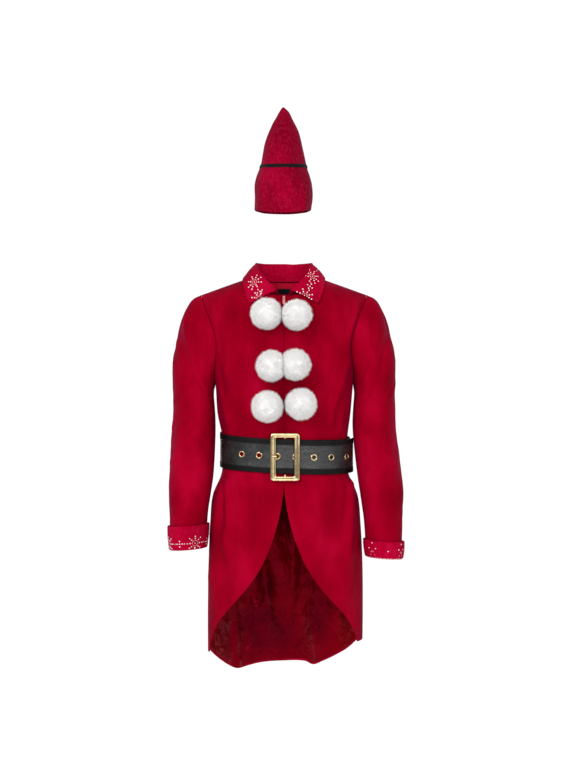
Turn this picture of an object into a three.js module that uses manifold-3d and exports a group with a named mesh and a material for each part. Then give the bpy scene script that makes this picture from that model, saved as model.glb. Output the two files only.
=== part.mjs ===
// Elf costume: a red velvet tail coat with pompoms and a belt, and a pointed hat.
// Units are millimetres. +Z is up, -Y is the front, +X is the wearer's left.
// The origin is where the coat rests on the neck and shoulders.

import * as THREE from "three";
import { mergeVertices } from "three/addons/utils/BufferGeometryUtils.js";
import { ConvexGeometry } from "three/addons/geometries/ConvexGeometry.js";
import Module from "manifold-3d";

const wasm = await Module();
wasm.setup();

// Driving dimensions of the coat
const VELVET = 2.0;
const SATIN = 1.0;
const SEAM_GAP = 0.3;
const LAYER_GAP = 0.5;
const YOKE_Z = -135;
const YOKE_TOP_Z = -36;
const YOKE_SQUARE = 2.7;
const NECK_HALF_WIDTH = 75;
const NECK_SIDE_Z = 10;
const NECK_FRONT_Z = -42;
const NECK_BACK_Z = 3;
const NECK_RISE = 20;
const SHOULDER_X = 206;
const SHOULDER_SLOPE = 0.36;
const ARMPIT_Z = -262;
const ARMHOLE_DEPTH = 60;
// The fronts stand apart for the slider at the top of the zip and meet below it
const ZIP_HALF_CHANNEL = 3.5;
const CHANNEL_LOW_Z = -66;
const CHANNEL_TAPER = 26;
const FRONT_EDGE_X = 0.2;
const CUTAWAY_TOP_Z = -480;
const HEM_RIGHT_Z = -922;
const HEM_LEFT_Z = -892;

// The coat's section at each height: half widths at the two sides, depths, squareness
const TORSO = [
  // height, right side, left side, front depth, back depth, squareness
  { z: 20, right: 206, left: 206, front: 100, back: 96, square: YOKE_SQUARE },
  { z: YOKE_TOP_Z, right: 206, left: 206, front: 100, back: 96, square: YOKE_SQUARE },
  { z: -90, right: 198, left: 196, front: 101, back: 98, square: YOKE_SQUARE },
  { z: -160, right: 185, left: 184, front: 104, back: 100, square: 2.6 },
  { z: -262, right: 171, left: 172, front: 107, back: 99, square: 2.4 },
  { z: -330, right: 166, left: 166, front: 101, back: 92, square: 2.3 },
  { z: -385, right: 155, left: 159, front: 94, back: 84, square: 2.2 },
  { z: -427, right: 153, left: 157, front: 92, back: 83, square: 2.2 },
  { z: -480, right: 156, left: 161, front: 94, back: 87, square: 2.2 },
  { z: -535, right: 178, left: 184, front: 102, back: 102, square: 2.2 },
  { z: -600, right: 184, left: 191, front: 108, back: 113, square: 2.2 },
  { z: -700, right: 188, left: 196, front: 112, back: 119, square: 2.2 },
  { z: -800, right: 190, left: 197, front: 115, back: 123, square: 2.2 },
  { z: -900, right: 190, left: 196, front: 118, back: 126, square: 2.2 },
  { z: -1000, right: 189, left: 194, front: 118, back: 128, square: 2.2 },
];

// How far each front's cut edge lies from the centre
const CUTAWAY = [
  { z: -480, x: FRONT_EDGE_X },
  { z: -512, x: 0.6 },
  { z: -560, x: 7 },
  { z: -600, x: 16 },
  { z: -640, x: 28 },
  { z: -670, x: 40 },
  { z: -708, x: 58 },
  { z: -748, x: 85 },
  { z: -775, x: 108 },
  { z: -817, x: 144 },
  { z: -850, x: 166 },
  { z: -885, x: 180 },
  { z: -922, x: 186 },
];

// The back's hem, which dips where its two pleats hang
const BACK_HEM = [
  { x: -190, z: -922 },
  { x: -176, z: -946 },
  { x: -158, z: -965 },
  { x: -138, z: -981 },
  { x: -120, z: -989 },
  { x: -95, z: -984 },
  { x: -55, z: -976 },
  { x: 0, z: -974 },
  { x: 55, z: -974 },
  { x: 76, z: -982 },
  { x: 98, z: -973 },
  { x: 131, z: -955 },
  { x: 165, z: -929 },
  { x: 196, z: -892 },
];

// The largest folds of the coat: a line from one point to another, its half width and height
const BODY_FOLDS = [
  { side: "front", x1: -138, z1: -150, x2: -128, z2: -390, width: 16, height: 5 },
  { side: "front", x1: -160, z1: -110, x2: -150, z2: -290, width: 12, height: -4 },
  { side: "front", x1: 165, z1: -110, x2: 140, z2: -270, width: 13, height: 5 },
  { side: "front", x1: 150, z1: -200, x2: 100, z2: -370, width: 15, height: 5 },
  { side: "front", x1: 128, z1: -260, x2: 88, z2: -380, width: 9, height: -4 },
  { side: "front", x1: -137, z1: -480, x2: -140, z2: -680, width: 15, height: 6 },
  { side: "front", x1: -95, z1: -480, x2: -80, z2: -640, width: 15, height: -4 },
  { side: "front", x1: 150, z1: -480, x2: 162, z2: -700, width: 16, height: 6 },
  { side: "front", x1: 98, z1: -480, x2: 112, z2: -640, width: 15, height: -4 },
  { side: "back", x1: -150, z1: -120, x2: -115, z2: -360, width: 16, height: 5 },
  { side: "back", x1: 150, z1: -120, x2: 115, z2: -360, width: 16, height: 5 },
  { side: "back", x1: -40, z1: -260, x2: -60, z2: -400, width: 15, height: -4 },
  { side: "back", x1: 45, z1: -270, x2: 60, z2: -400, width: 15, height: -4 },
  { side: "back", x1: -110, z1: -480, x2: -125, z2: -960, width: 20, height: 8 },
  { side: "back", x1: -45, z1: -500, x2: -55, z2: -960, width: 20, height: -7 },
  { side: "back", x1: 20, z1: -490, x2: 25, z2: -960, width: 20, height: 7 },
  { side: "back", x1: 85, z1: -500, x2: 92, z2: -960, width: 18, height: -7 },
  { side: "back", x1: 140, z1: -490, x2: 148, z2: -930, width: 16, height: 6 },
];

// Sleeve sections: the outer and inner points seen from the front, the depth, and how far
// forward the section's middle lies
const SLEEVE = [
  { outX: 206, outZ: -36, inX: 172, inZ: -262, depth: 60, fwd: 0 },
  { outX: 228, outZ: -47, inX: 173.5, inZ: -267, depth: 63, fwd: 0 },
  { outX: 245, outZ: -70, inX: 174.5, inZ: -272, depth: 65, fwd: 0 },
  { outX: 259, outZ: -104, inX: 175, inZ: -278, depth: 66, fwd: 0 },
  { outX: 268, outZ: -148, inX: 175, inZ: -287, depth: 66, fwd: 1 },
  { outX: 273, outZ: -196, inX: 174, inZ: -300, depth: 65, fwd: 2 },
  { outX: 276, outZ: -246, inX: 172.5, inZ: -318, depth: 63, fwd: 3 },
  { outX: 277, outZ: -296, inX: 171, inZ: -342, depth: 61, fwd: 5 },
  { outX: 278, outZ: -345, inX: 170.5, inZ: -374, depth: 59, fwd: 7 },
  { outX: 281, outZ: -395, inX: 171.5, inZ: -412, depth: 58, fwd: 10 },
  { outX: 284, outZ: -442, inX: 173, inZ: -450, depth: 57, fwd: 14 },
  { outX: 286, outZ: -488, inX: 176, inZ: -490, depth: 56, fwd: 19 },
  { outX: 286, outZ: -532, inX: 182, inZ: -532, depth: 54, fwd: 25 },
  { outX: 284, outZ: -572, inX: 187.5, inZ: -570, depth: 52, fwd: 31 },
  { outX: 282, outZ: -618, inX: 190.5, inZ: -612, depth: 50, fwd: 36 },
  { outX: 281, outZ: -663, inX: 192, inZ: -656, depth: 47, fwd: 40 },
];
const SLEEVE_SHIFT = { right: 0, left: 10 };
const SLEEVE_DROP = { right: 0, left: 22 };
const SHIFT_FROM_Z = -340;
const SHIFT_OVER = 180;
const DROP_FROM_Z = -300;
const DROP_OVER = 320;
const SLEEVE_WRINKLES = [
  // place along the sleeve and round it, slant, half width, height
  { along: 0.22, round: 0.05, slant: 0.35, width: 0.06, height: -5 },
  { along: 0.36, round: 0.12, slant: 0.3, width: 0.06, height: 5 },
  { along: 0.5, round: 0.2, slant: -0.25, width: 0.05, height: -5 },
  { along: 0.6, round: 0.28, slant: -0.2, width: 0.05, height: 5 },
  { along: 0.72, round: 0.15, slant: 0.2, width: 0.05, height: -4 },
  { along: 0.42, round: 0.72, slant: 0.25, width: 0.06, height: -4 },
  { along: 0.62, round: 0.75, slant: -0.25, width: 0.06, height: 4 },
];
const CUFF_HEIGHT = { right: 58, left: 42 };

// Belt, buckle and eyelets
const BELT_HEIGHT = 84;
const BELT_THICK = 2.6;
const BELT_Z = -426;
const BELT_FRONT_DROP = 7.5;
const BELT_TILT = 6;
const EYELET_PITCH = 44;
const EYELET_FIRST = -104;
const EYELET_COUNT = 7;
const EYELET_OUTER = 8.2;
const EYELET_INNER = 4.3;
const STRAP_HOLE = 5.6;
const BUCKLE_X = 3;
const BUCKLE_Z = -434.5;
const BUCKLE_WIDTH = 72;
const BUCKLE_HEIGHT = 117;
const BUCKLE_BAR = 14;
const BUCKLE_THICK = 6;

// Pompoms: centre seen from the front and radius
const POMPOMS = [
  { name: "pompom_top_right", x: -42, z: -88, r: 38.5 },
  { name: "pompom_top_left", x: 31, z: -91, r: 37.5 },
  { name: "pompom_middle_right", x: -29.5, z: -214, r: 38 },
  { name: "pompom_middle_left", x: 27.5, z: -211, r: 38 },
  { name: "pompom_bottom_right", x: -39.5, z: -312, r: 38.5 },
  { name: "pompom_bottom_left", x: 41, z: -306, r: 38.5 },
];
const LOCK_POINTS = 22;

// Hat sections: half widths seen from the front, and the depth to the front and the back
const HAT = [
  { z: 433, right: 5, left: 1, depth: 6 },
  { z: 422, right: 12, left: 12.5, depth: 15 },
  { z: 407, right: 20, left: 20, depth: 26 },
  { z: 392, right: 29, left: 27.5, depth: 36 },
  { z: 377, right: 35.5, left: 35, depth: 45 },
  { z: 362, right: 42, left: 40, depth: 53 },
  { z: 340, right: 49, left: 45, depth: 62 },
  { z: 318, right: 53, left: 50, depth: 70 },
  { z: 289.5, right: 58, left: 56, depth: 78 },
  { z: 281, right: 61, left: 58, depth: 81 },
  { z: 262, right: 68.5, left: 64.5, depth: 88 },
  { z: 240, right: 73.5, left: 70, depth: 93 },
  { z: 210, right: 73, left: 72, depth: 96 },
  { z: 178, right: 74, left: 68, depth: 97 },
];
const HAT_BAND_Z = 285;
const HAT_BAND_TILT = 9;
const HAT_BAND_HEIGHT = 8.5;

const colours = {
  velvet: new THREE.MeshStandardMaterial({ color: 0xa8062a, roughness: 0.85, metalness: 0 }),
  print: new THREE.MeshStandardMaterial({ color: 0xb40a30, roughness: 0.85, metalness: 0 }),
  satin: new THREE.MeshStandardMaterial({ color: 0x74040f, roughness: 0.4, metalness: 0 }),
  label: new THREE.MeshStandardMaterial({ color: 0x101012, roughness: 0.7, metalness: 0 }),
  leather: new THREE.MeshStandardMaterial({ color: 0x1c1e1f, roughness: 0.5, metalness: 0 }),
  gold: new THREE.MeshStandardMaterial({ color: 0xd9a846, roughness: 0.25, metalness: 1 }),
  fur: new THREE.MeshStandardMaterial({ color: 0xf3f1ec, roughness: 0.95, metalness: 0 }),
};

const costume = new THREE.Group();

function addMesh(name, geometry, material) {
  const mesh = new THREE.Mesh(geometry, material);
  mesh.name = name;
  costume.add(mesh);
  return mesh;
}

// Small number helpers

function clamp(value, low, high) {
  return Math.min(high, Math.max(low, value));
}

function smooth(value) {
  const t = clamp(value, 0, 1);
  return t * t * (3 - 2 * t);
}

function hermite(rows, position, key, at) {
  let i = 0;
  const falling = rows[0][key] > rows[rows.length - 1][key];
  const step = (a, b) => (falling ? a <= b : a >= b);
  while (i < rows.length - 2 && step(at, rows[i + 1][key])) i += 1;
  const a = rows[i];
  const b = rows[i + 1];
  const before = rows[Math.max(0, i - 1)];
  const after = rows[Math.min(rows.length - 1, i + 2)];
  const span = b[key] - a[key];
  const t = clamp((at - a[key]) / span, 0, 1);
  const slopeA = (b[position] - before[position]) / (b[key] - before[key]);
  const slopeB = (after[position] - a[position]) / (after[key] - a[key]);
  const t2 = t * t;
  const t3 = t2 * t;
  return (
    (2 * t3 - 3 * t2 + 1) * a[position] +
    (t3 - 2 * t2 + t) * span * slopeA +
    (3 * t2 - 2 * t3) * b[position] +
    (t3 - t2) * span * slopeB
  );
}

function torso(z, column) {
  return hermite(TORSO, column, "z", z);
}

// Solids from grids: an outer sheet of points, its inner twin, and the edges between them

function solidFromTriangles(positions, triangles) {
  const geometry = new THREE.BufferGeometry();
  geometry.setAttribute("position", new THREE.Float32BufferAttribute(positions, 3));
  geometry.setIndex(triangles);
  geometry.computeVertexNormals();
  return geometry;
}

function wallFromSheets(outer, inner, closedAround) {
  const rows = outer.length;
  const columns = outer[0].length;
  const positions = [];
  for (const sheet of [outer, inner]) {
    for (const row of sheet) {
      for (const p of row) positions.push(p.x, p.y, p.z);
    }
  }
  const half = rows * columns;
  const triangles = [];
  const quad = (a, b, c, d) => triangles.push(a, b, c, a, c, d);
  const spans = closedAround ? columns : columns - 1;
  for (let j = 0; j < rows - 1; j += 1) {
    for (let i = 0; i < spans; i += 1) {
      const a = j * columns + i;
      const b = j * columns + ((i + 1) % columns);
      const c = b + columns;
      const d = a + columns;
      quad(a, d, c, b);
      quad(half + a, half + b, half + c, half + d);
    }
  }
  for (let i = 0; i < spans; i += 1) {
    const next = (i + 1) % columns;
    quad(i, next, half + next, half + i);
    const last = (rows - 1) * columns;
    quad(last + i, half + last + i, half + last + next, last + next);
  }
  if (!closedAround) {
    for (let j = 0; j < rows - 1; j += 1) {
      const a = j * columns;
      const b = a + columns;
      quad(a, half + a, half + b, b);
      const c = a + columns - 1;
      const d = c + columns;
      quad(c, d, half + d, half + c);
    }
  }
  return solidFromTriangles(positions, triangles);
}

// Turns a wall inside out when its faces point inwards
function facingOut(geometry) {
  const p = geometry.attributes.position;
  const index = geometry.index.array;
  let volume = 0;
  const a = new THREE.Vector3();
  const b = new THREE.Vector3();
  const c = new THREE.Vector3();
  for (let i = 0; i < index.length; i += 3) {
    a.fromBufferAttribute(p, index[i]);
    b.fromBufferAttribute(p, index[i + 1]);
    c.fromBufferAttribute(p, index[i + 2]);
    volume += a.dot(b.cross(c));
  }
  if (volume < 0) {
    for (let i = 0; i < index.length; i += 3) {
      const swap = index[i];
      index[i] = index[i + 1];
      index[i + 1] = swap;
    }
  }
  return geometry;
}

// The torso's surface

function ridgeHeight(x) {
  const away = Math.abs(x) - NECK_HALF_WIDTH;
  const inside = clamp(-away / NECK_HALF_WIDTH, 0, 1);
  const bend = 12;
  const soft = 0.5 * (away + Math.sqrt(away * away + bend * bend)) - bend / 2;
  return NECK_SIDE_Z + NECK_RISE * smooth(inside) - SHOULDER_SLOPE * Math.max(0, soft);
}

function halfWidth(x, z) {
  return torso(z, x < 0 ? "right" : "left");
}

function yokeShare(x, z) {
  if (z <= YOKE_Z) return 1;
  const rise = clamp((z - YOKE_Z) / (ridgeHeight(x) - YOKE_Z), 0, 1);
  return Math.sqrt(Math.max(0, 1 - rise * rise));
}

// A fold dies out over this share of its length beyond each end
const FOLD_FADE = 0.15;

function foldHeight(side, x, z) {
  let total = 0;
  for (const fold of BODY_FOLDS) {
    if (fold.side !== side) continue;
    const dx = fold.x2 - fold.x1;
    const dz = fold.z2 - fold.z1;
    const along = ((x - fold.x1) * dx + (z - fold.z1) * dz) / (dx * dx + dz * dz);
    const t = clamp(along, -FOLD_FADE, 1 + FOLD_FADE);
    const fade = 2 * FOLD_FADE;
    const ends = smooth((t + FOLD_FADE) / fade) * smooth((1 + FOLD_FADE - t) / fade);
    const across = (x - fold.x1 - t * dx) / fold.width;
    total += fold.height * ends * Math.exp(-across * across);
  }
  return total;
}

// Angle round the ring where the armhole cuts it, at one height
function armholeAngle(side, z) {
  const top = ridgeHeight(SHOULDER_X);
  if (z >= top || z <= ARMPIT_Z) return Math.PI / 2;
  const t = (z - ARMPIT_Z) / (top - ARMPIT_Z);
  const reach = ARMHOLE_DEPTH * Math.sin(Math.PI * t) ** 0.75;
  const depth = torso(z, side) * yokeShare(SHOULDER_X * 0.9, z);
  const square = torso(z, "square");
  return Math.acos(clamp(reach / Math.max(depth, reach + 4), 0, 0.97) ** (square / 2));
}

function ringPoint(side, mirror, angle, z) {
  const square = torso(z, "square");
  const width = torso(z, mirror < 0 ? "right" : "left");
  const x = mirror * width * Math.sin(angle) ** (2 / square);
  const forward = side === "front" ? -1 : 1;
  const bow = Math.max(0, Math.cos(angle)) ** (2 / square);
  const y = forward * torso(z, side) * bow * yokeShare(x, z);
  return new THREE.Vector3(x, y, z);
}

// Neckline and shoulder: the panel's top edge, as a height for each x
function topEdge(side, x) {
  const away = Math.abs(x);
  if (away >= NECK_HALF_WIDTH) return ridgeHeight(x);
  const low = side === "front" ? NECK_FRONT_Z : NECK_BACK_Z;
  const share = away / NECK_HALF_WIDTH;
  return low + (NECK_SIDE_Z - low) * (1 - Math.sqrt(Math.max(0, 1 - share ** 2.4)));
}

// Heights of the coat's rows: shares of the armhole above the armpit, then heights below it
const ARMHOLE_ROWS = 8;
const LOWER_ROWS = [
  -285, -318, -352, -385, -427, -480, -508, -545, -590, -640, -690, -740, -785, -830, -865, -900,
];

function armholeShare(row) {
  const even = row / ARMHOLE_ROWS;
  return 0.45 * even + 0.55 * 0.5 * (1 - Math.cos(Math.PI * even));
}

function hemHeight(mirror) {
  return mirror < 0 ? HEM_RIGHT_Z : HEM_LEFT_Z;
}

// A row's height at the side seam: the lowest rows are spread so the last one is the hem
function seamHeight(mirror, row) {
  const z = LOWER_ROWS[row - ARMHOLE_ROWS - 1];
  const last = LOWER_ROWS[LOWER_ROWS.length - 1];
  const reach = smooth((-545 - z) / (-545 - last));
  return z + (hemHeight(mirror) - last) * reach;
}

function panelPoint(side, mirror, share, row) {
  const away = Math.abs(share);
  const sign = share === 0 ? mirror : Math.sign(share) * (side === "back" ? 1 : mirror);
  if (row <= ARMHOLE_ROWS) {
    let x = SHOULDER_X * away;
    for (let i = 0; i < 14; i += 1) {
      const z = topEdge(side, x);
      const at = ringPoint(side, sign, armholeAngle(side, z) * away, z);
      x = Math.abs(at.x);
    }
    const top = topEdge(side, x);
    const z = top + (ARMPIT_Z - top) * armholeShare(row);
    return ringPoint(side, sign, armholeAngle(side, z) * away, z);
  }
  let z = seamHeight(sign, row);
  if (side === "back") {
    const reach = smooth((-505 - z) / (-505 - hemHeight(sign)));
    const hem = ringPoint(side, sign, (Math.PI / 2) * away, hemHeight(sign));
    z += (hermite(BACK_HEM, "z", "x", hem.x) - hemHeight(sign)) * reach;
  }
  return ringPoint(side, sign, (Math.PI / 2) * away, z);
}

const ROW_COUNT = ARMHOLE_ROWS + 1 + LOWER_ROWS.length;

// Share of the ring where the front's inner edge lies, from its distance to the centre line
function innerShare(mirror, row) {
  const yoke = row <= ARMHOLE_ROWS;
  const reach = (ARMPIT_Z - NECK_FRONT_Z) * armholeShare(row);
  const z = yoke ? NECK_FRONT_Z + reach : seamHeight(mirror, row);
  const open = smooth((z - CHANNEL_LOW_Z + CHANNEL_TAPER) / CHANNEL_TAPER);
  const zipped = FRONT_EDGE_X + (ZIP_HALF_CHANNEL - FRONT_EDGE_X) * open;
  const x = z > CUTAWAY_TOP_Z ? zipped : hermite(CUTAWAY, "x", "z", z);
  const width = torso(z, mirror < 0 ? "right" : "left");
  const angle = Math.asin(clamp(x / width, 0, 1) ** (torso(z, "square") / 2));
  return angle / (yoke ? armholeAngle("front", z) : Math.PI / 2);
}

// Folds stay clear of the side seams and of the belt
const SEAM_FADE = 0.14;
const BELT_FADE = 40;

// The outer sheet of a panel with its folds, and the direction out of the cloth at each point
function panelSheet(side, mirror, columns) {
  const points = [];
  for (let row = 0; row < ROW_COUNT; row += 1) {
    const line = [];
    const start = side === "back" ? -1 : innerShare(mirror, row);
    for (let i = 0; i <= columns; i += 1) {
      const share = start + (1 - start) * (i / columns);
      const at = panelPoint(side, mirror, share, row);
      const forward = side === "front" ? -1 : 1;
      at.y += forward * (SEAM_GAP / 2);
      at.share = share;
      line.push(at);
    }
    points.push(line);
  }
  const outward = side === "front" ? -1 : 1;
  const normals = points.map((line, j) =>
    line.map((at, i) => {
      const left = line[Math.max(0, i - 1)];
      const right = line[Math.min(line.length - 1, i + 1)];
      const above = points[Math.max(0, j - 1)][i];
      const below = points[Math.min(points.length - 1, j + 1)][i];
      const across = new THREE.Vector3().subVectors(right, left);
      const down = new THREE.Vector3().subVectors(below, above);
      const normal = across.cross(down).normalize();
      const seam = Math.abs(at.share) > 0.999 && j >= ARMHOLE_ROWS;
      const shoulder = j === 0 && Math.abs(at.x) >= NECK_HALF_WIDTH;
      if (!seam && !shoulder && normal.y * outward < 0) normal.negate();
      if (seam && normal.x * at.x < 0) normal.negate();
      if (shoulder && normal.z < 0) normal.negate();
      if (seam || shoulder) normal.y = 0;
      return normal.normalize();
    }),
  );
  for (let j = 0; j < points.length; j += 1) {
    for (let i = 0; i < points[j].length; i += 1) {
      const at = points[j][i];
      const seamFade = smooth((1 - Math.abs(at.share)) / SEAM_FADE);
      const beltFade = smooth((Math.abs(at.z - BELT_Z) - BELT_HEIGHT / 2 - BELT_TILT) / BELT_FADE);
      const height = foldHeight(side, at.x, at.z) * seamFade * beltFade;
      at.addScaledVector(normals[j][i], height);
    }
  }
  return { points, normals };
}

function offsetSheet(sheet, depth) {
  return sheet.points.map((line, j) =>
    line.map((at, i) => at.clone().addScaledVector(sheet.normals[j][i], -depth)),
  );
}

function coatWall(sheet, from, thickness) {
  return facingOut(wallFromSheets(offsetSheet(sheet, from), offsetSheet(sheet, from + thickness)));
}

const FRONT_COLUMNS = 9;
const BACK_COLUMNS = 18;
const frontSheets = {
  right: panelSheet("front", -1, FRONT_COLUMNS),
  left: panelSheet("front", 1, FRONT_COLUMNS),
};
const backSheet = panelSheet("back", 1, BACK_COLUMNS);
addMesh("front_right", coatWall(frontSheets.right, 0, VELVET), colours.velvet);
addMesh("front_left", coatWall(frontSheets.left, 0, VELVET), colours.velvet);
addMesh("back", coatWall(backSheet, 0, VELVET), colours.velvet);

// Linings: inside the velvet, a little short of its edges
const NECK_EASE = 2.5;
const NECK_INSET = 1.2;

function liningSheet(sheet, firstRow, inset) {
  const points = [];
  const normals = [];
  const rows = sheet.points.length;
  const shift = (j, i, toJ, toI, distance, limit) => {
    const at = points[j][i];
    const target = sheet.points[toJ][toI];
    const share = Math.min(limit, distance / at.distanceTo(target));
    at.lerp(target, share);
    normals[j][i].lerp(sheet.normals[toJ][toI], share).normalize();
  };
  for (let j = firstRow; j < rows; j += 1) {
    points[j] = sheet.points[j].map((p) => p.clone());
    normals[j] = sheet.normals[j].map((n) => n.clone());
    const last = points[j].length - 1;
    for (let i = 0; i <= last; i += 1) {
      if (j === firstRow) shift(j, i, j + 1, i, firstRow === 0 ? NECK_INSET : inset, 0.8);
      if (j === rows - 1) shift(j, i, j - 1, i, inset, 0.8);
    }
    shift(j, 0, j, 1, inset * 0.6, 0.6);
    shift(j, last, j, last - 1, inset * 0.6, 0.6);
    if (j !== firstRow) continue;
    points[j].forEach((at, i) => at.addScaledVector(normals[j][i], -NECK_EASE));
  }
  return { points: points.slice(firstRow), normals: normals.slice(firstRow) };
}

const LINING_GAP = 0.9;
const LINING_DEPTH = VELVET + LINING_GAP;
const LINING_INSET = 6;
const SKIRT_ROW = ARMHOLE_ROWS + 6;
const liningBack = liningSheet(backSheet, 0, LINING_INSET);
addMesh("lining_back", coatWall(liningBack, LINING_DEPTH, SATIN), colours.satin);
for (const hand of ["right", "left"]) {
  const sheet = liningSheet(frontSheets[hand], SKIRT_ROW, LINING_INSET);
  addMesh(`lining_front_${hand}`, coatWall(sheet, LINING_DEPTH, SATIN), colours.satin);
}

// Sleeves: each starts at the armhole's own points and runs down through its sections
function armholeLoop(mirror) {
  const loop = [];
  for (let row = 0; row <= ARMHOLE_ROWS; row += 1) {
    loop.push(panelPoint("front", mirror, 1, row));
  }
  for (let row = ARMHOLE_ROWS - 1; row > 0; row -= 1) {
    loop.push(panelPoint("back", mirror, mirror, row));
  }
  return loop;
}

function wrinkle(along, round) {
  let total = 0;
  for (const fold of SLEEVE_WRINKLES) {
    const turn = round - fold.round;
    if (Math.abs(turn) > 0.2) continue;
    const off = (along - fold.along - fold.slant * turn) / fold.width;
    total += fold.height * Math.exp(-off * off) * smooth((0.2 - Math.abs(turn)) / 0.1);
  }
  return total;
}

const LOOP_FADE = [1, 0.5, 0.2, 0.06];
// Share of the turn from the outer line over which wrinkles reach, so they stay off the body
const WRINKLE_REACH = 0.36;
const WRINKLE_FADE = 0.12;
const SLEEVE_START_GAP = 0.7;

function sleeveSheet(hand) {
  const mirror = hand === "right" ? -1 : 1;
  const loop = armholeLoop(mirror);
  const count = loop.length;
  const ellipse = (section, k) => {
    const turn = (2 * Math.PI * k) / count;
    const share = (1 - Math.cos(turn)) / 2;
    const x = section.outX + (section.inX - section.outX) * share;
    const z = section.outZ + (section.inZ - section.outZ) * share;
    const y = -section.fwd - section.depth * Math.sin(turn);
    return new THREE.Vector3(mirror * x, y, z);
  };
  const points = SLEEVE.map((section, j) => {
    const line = [];
    for (let k = 0; k < count; k += 1) {
      const at = ellipse(section, k);
      const fade = LOOP_FADE[j] ?? 0;
      if (fade > 0) {
        const first = ellipse(SLEEVE[0], k);
        at.addScaledVector(new THREE.Vector3().subVectors(loop[k], first), fade);
      }
      at.x += mirror * SLEEVE_SHIFT[hand] * smooth((SHIFT_FROM_Z - at.z) / SHIFT_OVER);
      at.z -= SLEEVE_DROP[hand] * smooth((DROP_FROM_Z - at.z) / DROP_OVER);
      if (j === 0) at.x += mirror * SLEEVE_START_GAP;
      line.push(at);
    }
    return line;
  });
  const normals = points.map((line, j) =>
    line.map((at, k) => {
      const next = line[(k + 1) % count];
      const last = line[(k + count - 1) % count];
      const above = points[Math.max(0, j - 1)][k];
      const below = points[Math.min(points.length - 1, j + 1)][k];
      const around = new THREE.Vector3().subVectors(next, last);
      const down = new THREE.Vector3().subVectors(below, above);
      const normal = down.cross(around).normalize();
      const centre = new THREE.Vector3();
      for (const p of line) centre.addScaledVector(p, 1 / count);
      if (normal.dot(new THREE.Vector3().subVectors(at, centre)) < 0) normal.negate();
      return normal;
    }),
  );
  points.forEach((line, j) => {
    line.forEach((at, k) => {
      const along = j / (points.length - 1);
      const round = k / count;
      const inner = Math.min(round, 1 - round);
      const outerSide = smooth((WRINKLE_REACH - inner) / WRINKLE_FADE);
      at.addScaledVector(normals[j][k], wrinkle(along, round) * outerSide);
    });
  });
  return { points, normals };
}

function ringWall(sheet, from, thickness) {
  const outer = offsetSheet(sheet, from);
  const inner = offsetSheet(sheet, from + thickness);
  return facingOut(wallFromSheets(outer, inner, true));
}

const sleeves = { right: sleeveSheet("right"), left: sleeveSheet("left") };
for (const hand of ["right", "left"]) {
  addMesh(`sleeve_${hand}`, ringWall(sleeves[hand], 0, VELVET), colours.velvet);
}

// A ring whose section is a closed loop: sections[k] holds the loop's points at turn k
function ringOfSections(sections) {
  const count = sections.length;
  const loop = sections[0].length;
  const positions = [];
  for (const section of sections) {
    for (const p of section) positions.push(p.x, p.y, p.z);
  }
  const triangles = [];
  for (let k = 0; k < count; k += 1) {
    for (let m = 0; m < loop; m += 1) {
      const a = k * loop + m;
      const b = k * loop + ((m + 1) % loop);
      const c = ((k + 1) % count) * loop + ((m + 1) % loop);
      const d = ((k + 1) % count) * loop + m;
      triangles.push(a, b, c, a, c, d);
    }
  }
  return facingOut(solidFromTriangles(positions, triangles));
}

// Turned-back cuffs: a hairpin section round the sleeve's end, out from the sleeve and up
function cuffSection(height) {
  return [
    { out: 0.6, up: height },
    { out: 3.2, up: height },
    { out: 4.4, up: height / 2 },
    { out: 3.2, up: 1 },
    { out: 1.6, up: 0 },
    { out: -3.4, up: 0 },
    { out: -4.6, up: 1.2 },
    { out: -4.6, up: 18 },
    { out: -2.6, up: 18 },
    { out: -2.6, up: 3 },
    { out: 0.6, up: 3 },
  ];
}
const CUFF_EASE = 2.2;
const CUFF_OVERHANG = 3.6;

function cuff(hand) {
  const sheet = sleeves[hand];
  const height = CUFF_HEIGHT[hand];
  const last = sheet.points.length - 1;
  const sections = sheet.points[last].map((end, k) => {
    const above = sheet.points[last - 2][k];
    const up = new THREE.Vector3().subVectors(above, end).normalize();
    const out = sheet.normals[last][k];
    return cuffSection(height).map(({ out: away, up: rise }) => {
      const ease = away > 0 ? CUFF_EASE * smooth(rise / height) : 0;
      const at = end.clone().addScaledVector(up, rise - CUFF_OVERHANG);
      return at.addScaledVector(out, away + ease);
    });
  });
  return ringOfSections(sections);
}
addMesh("cuff_right", cuff("right"), colours.print);
addMesh("cuff_left", cuff("left"), colours.print);

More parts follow.
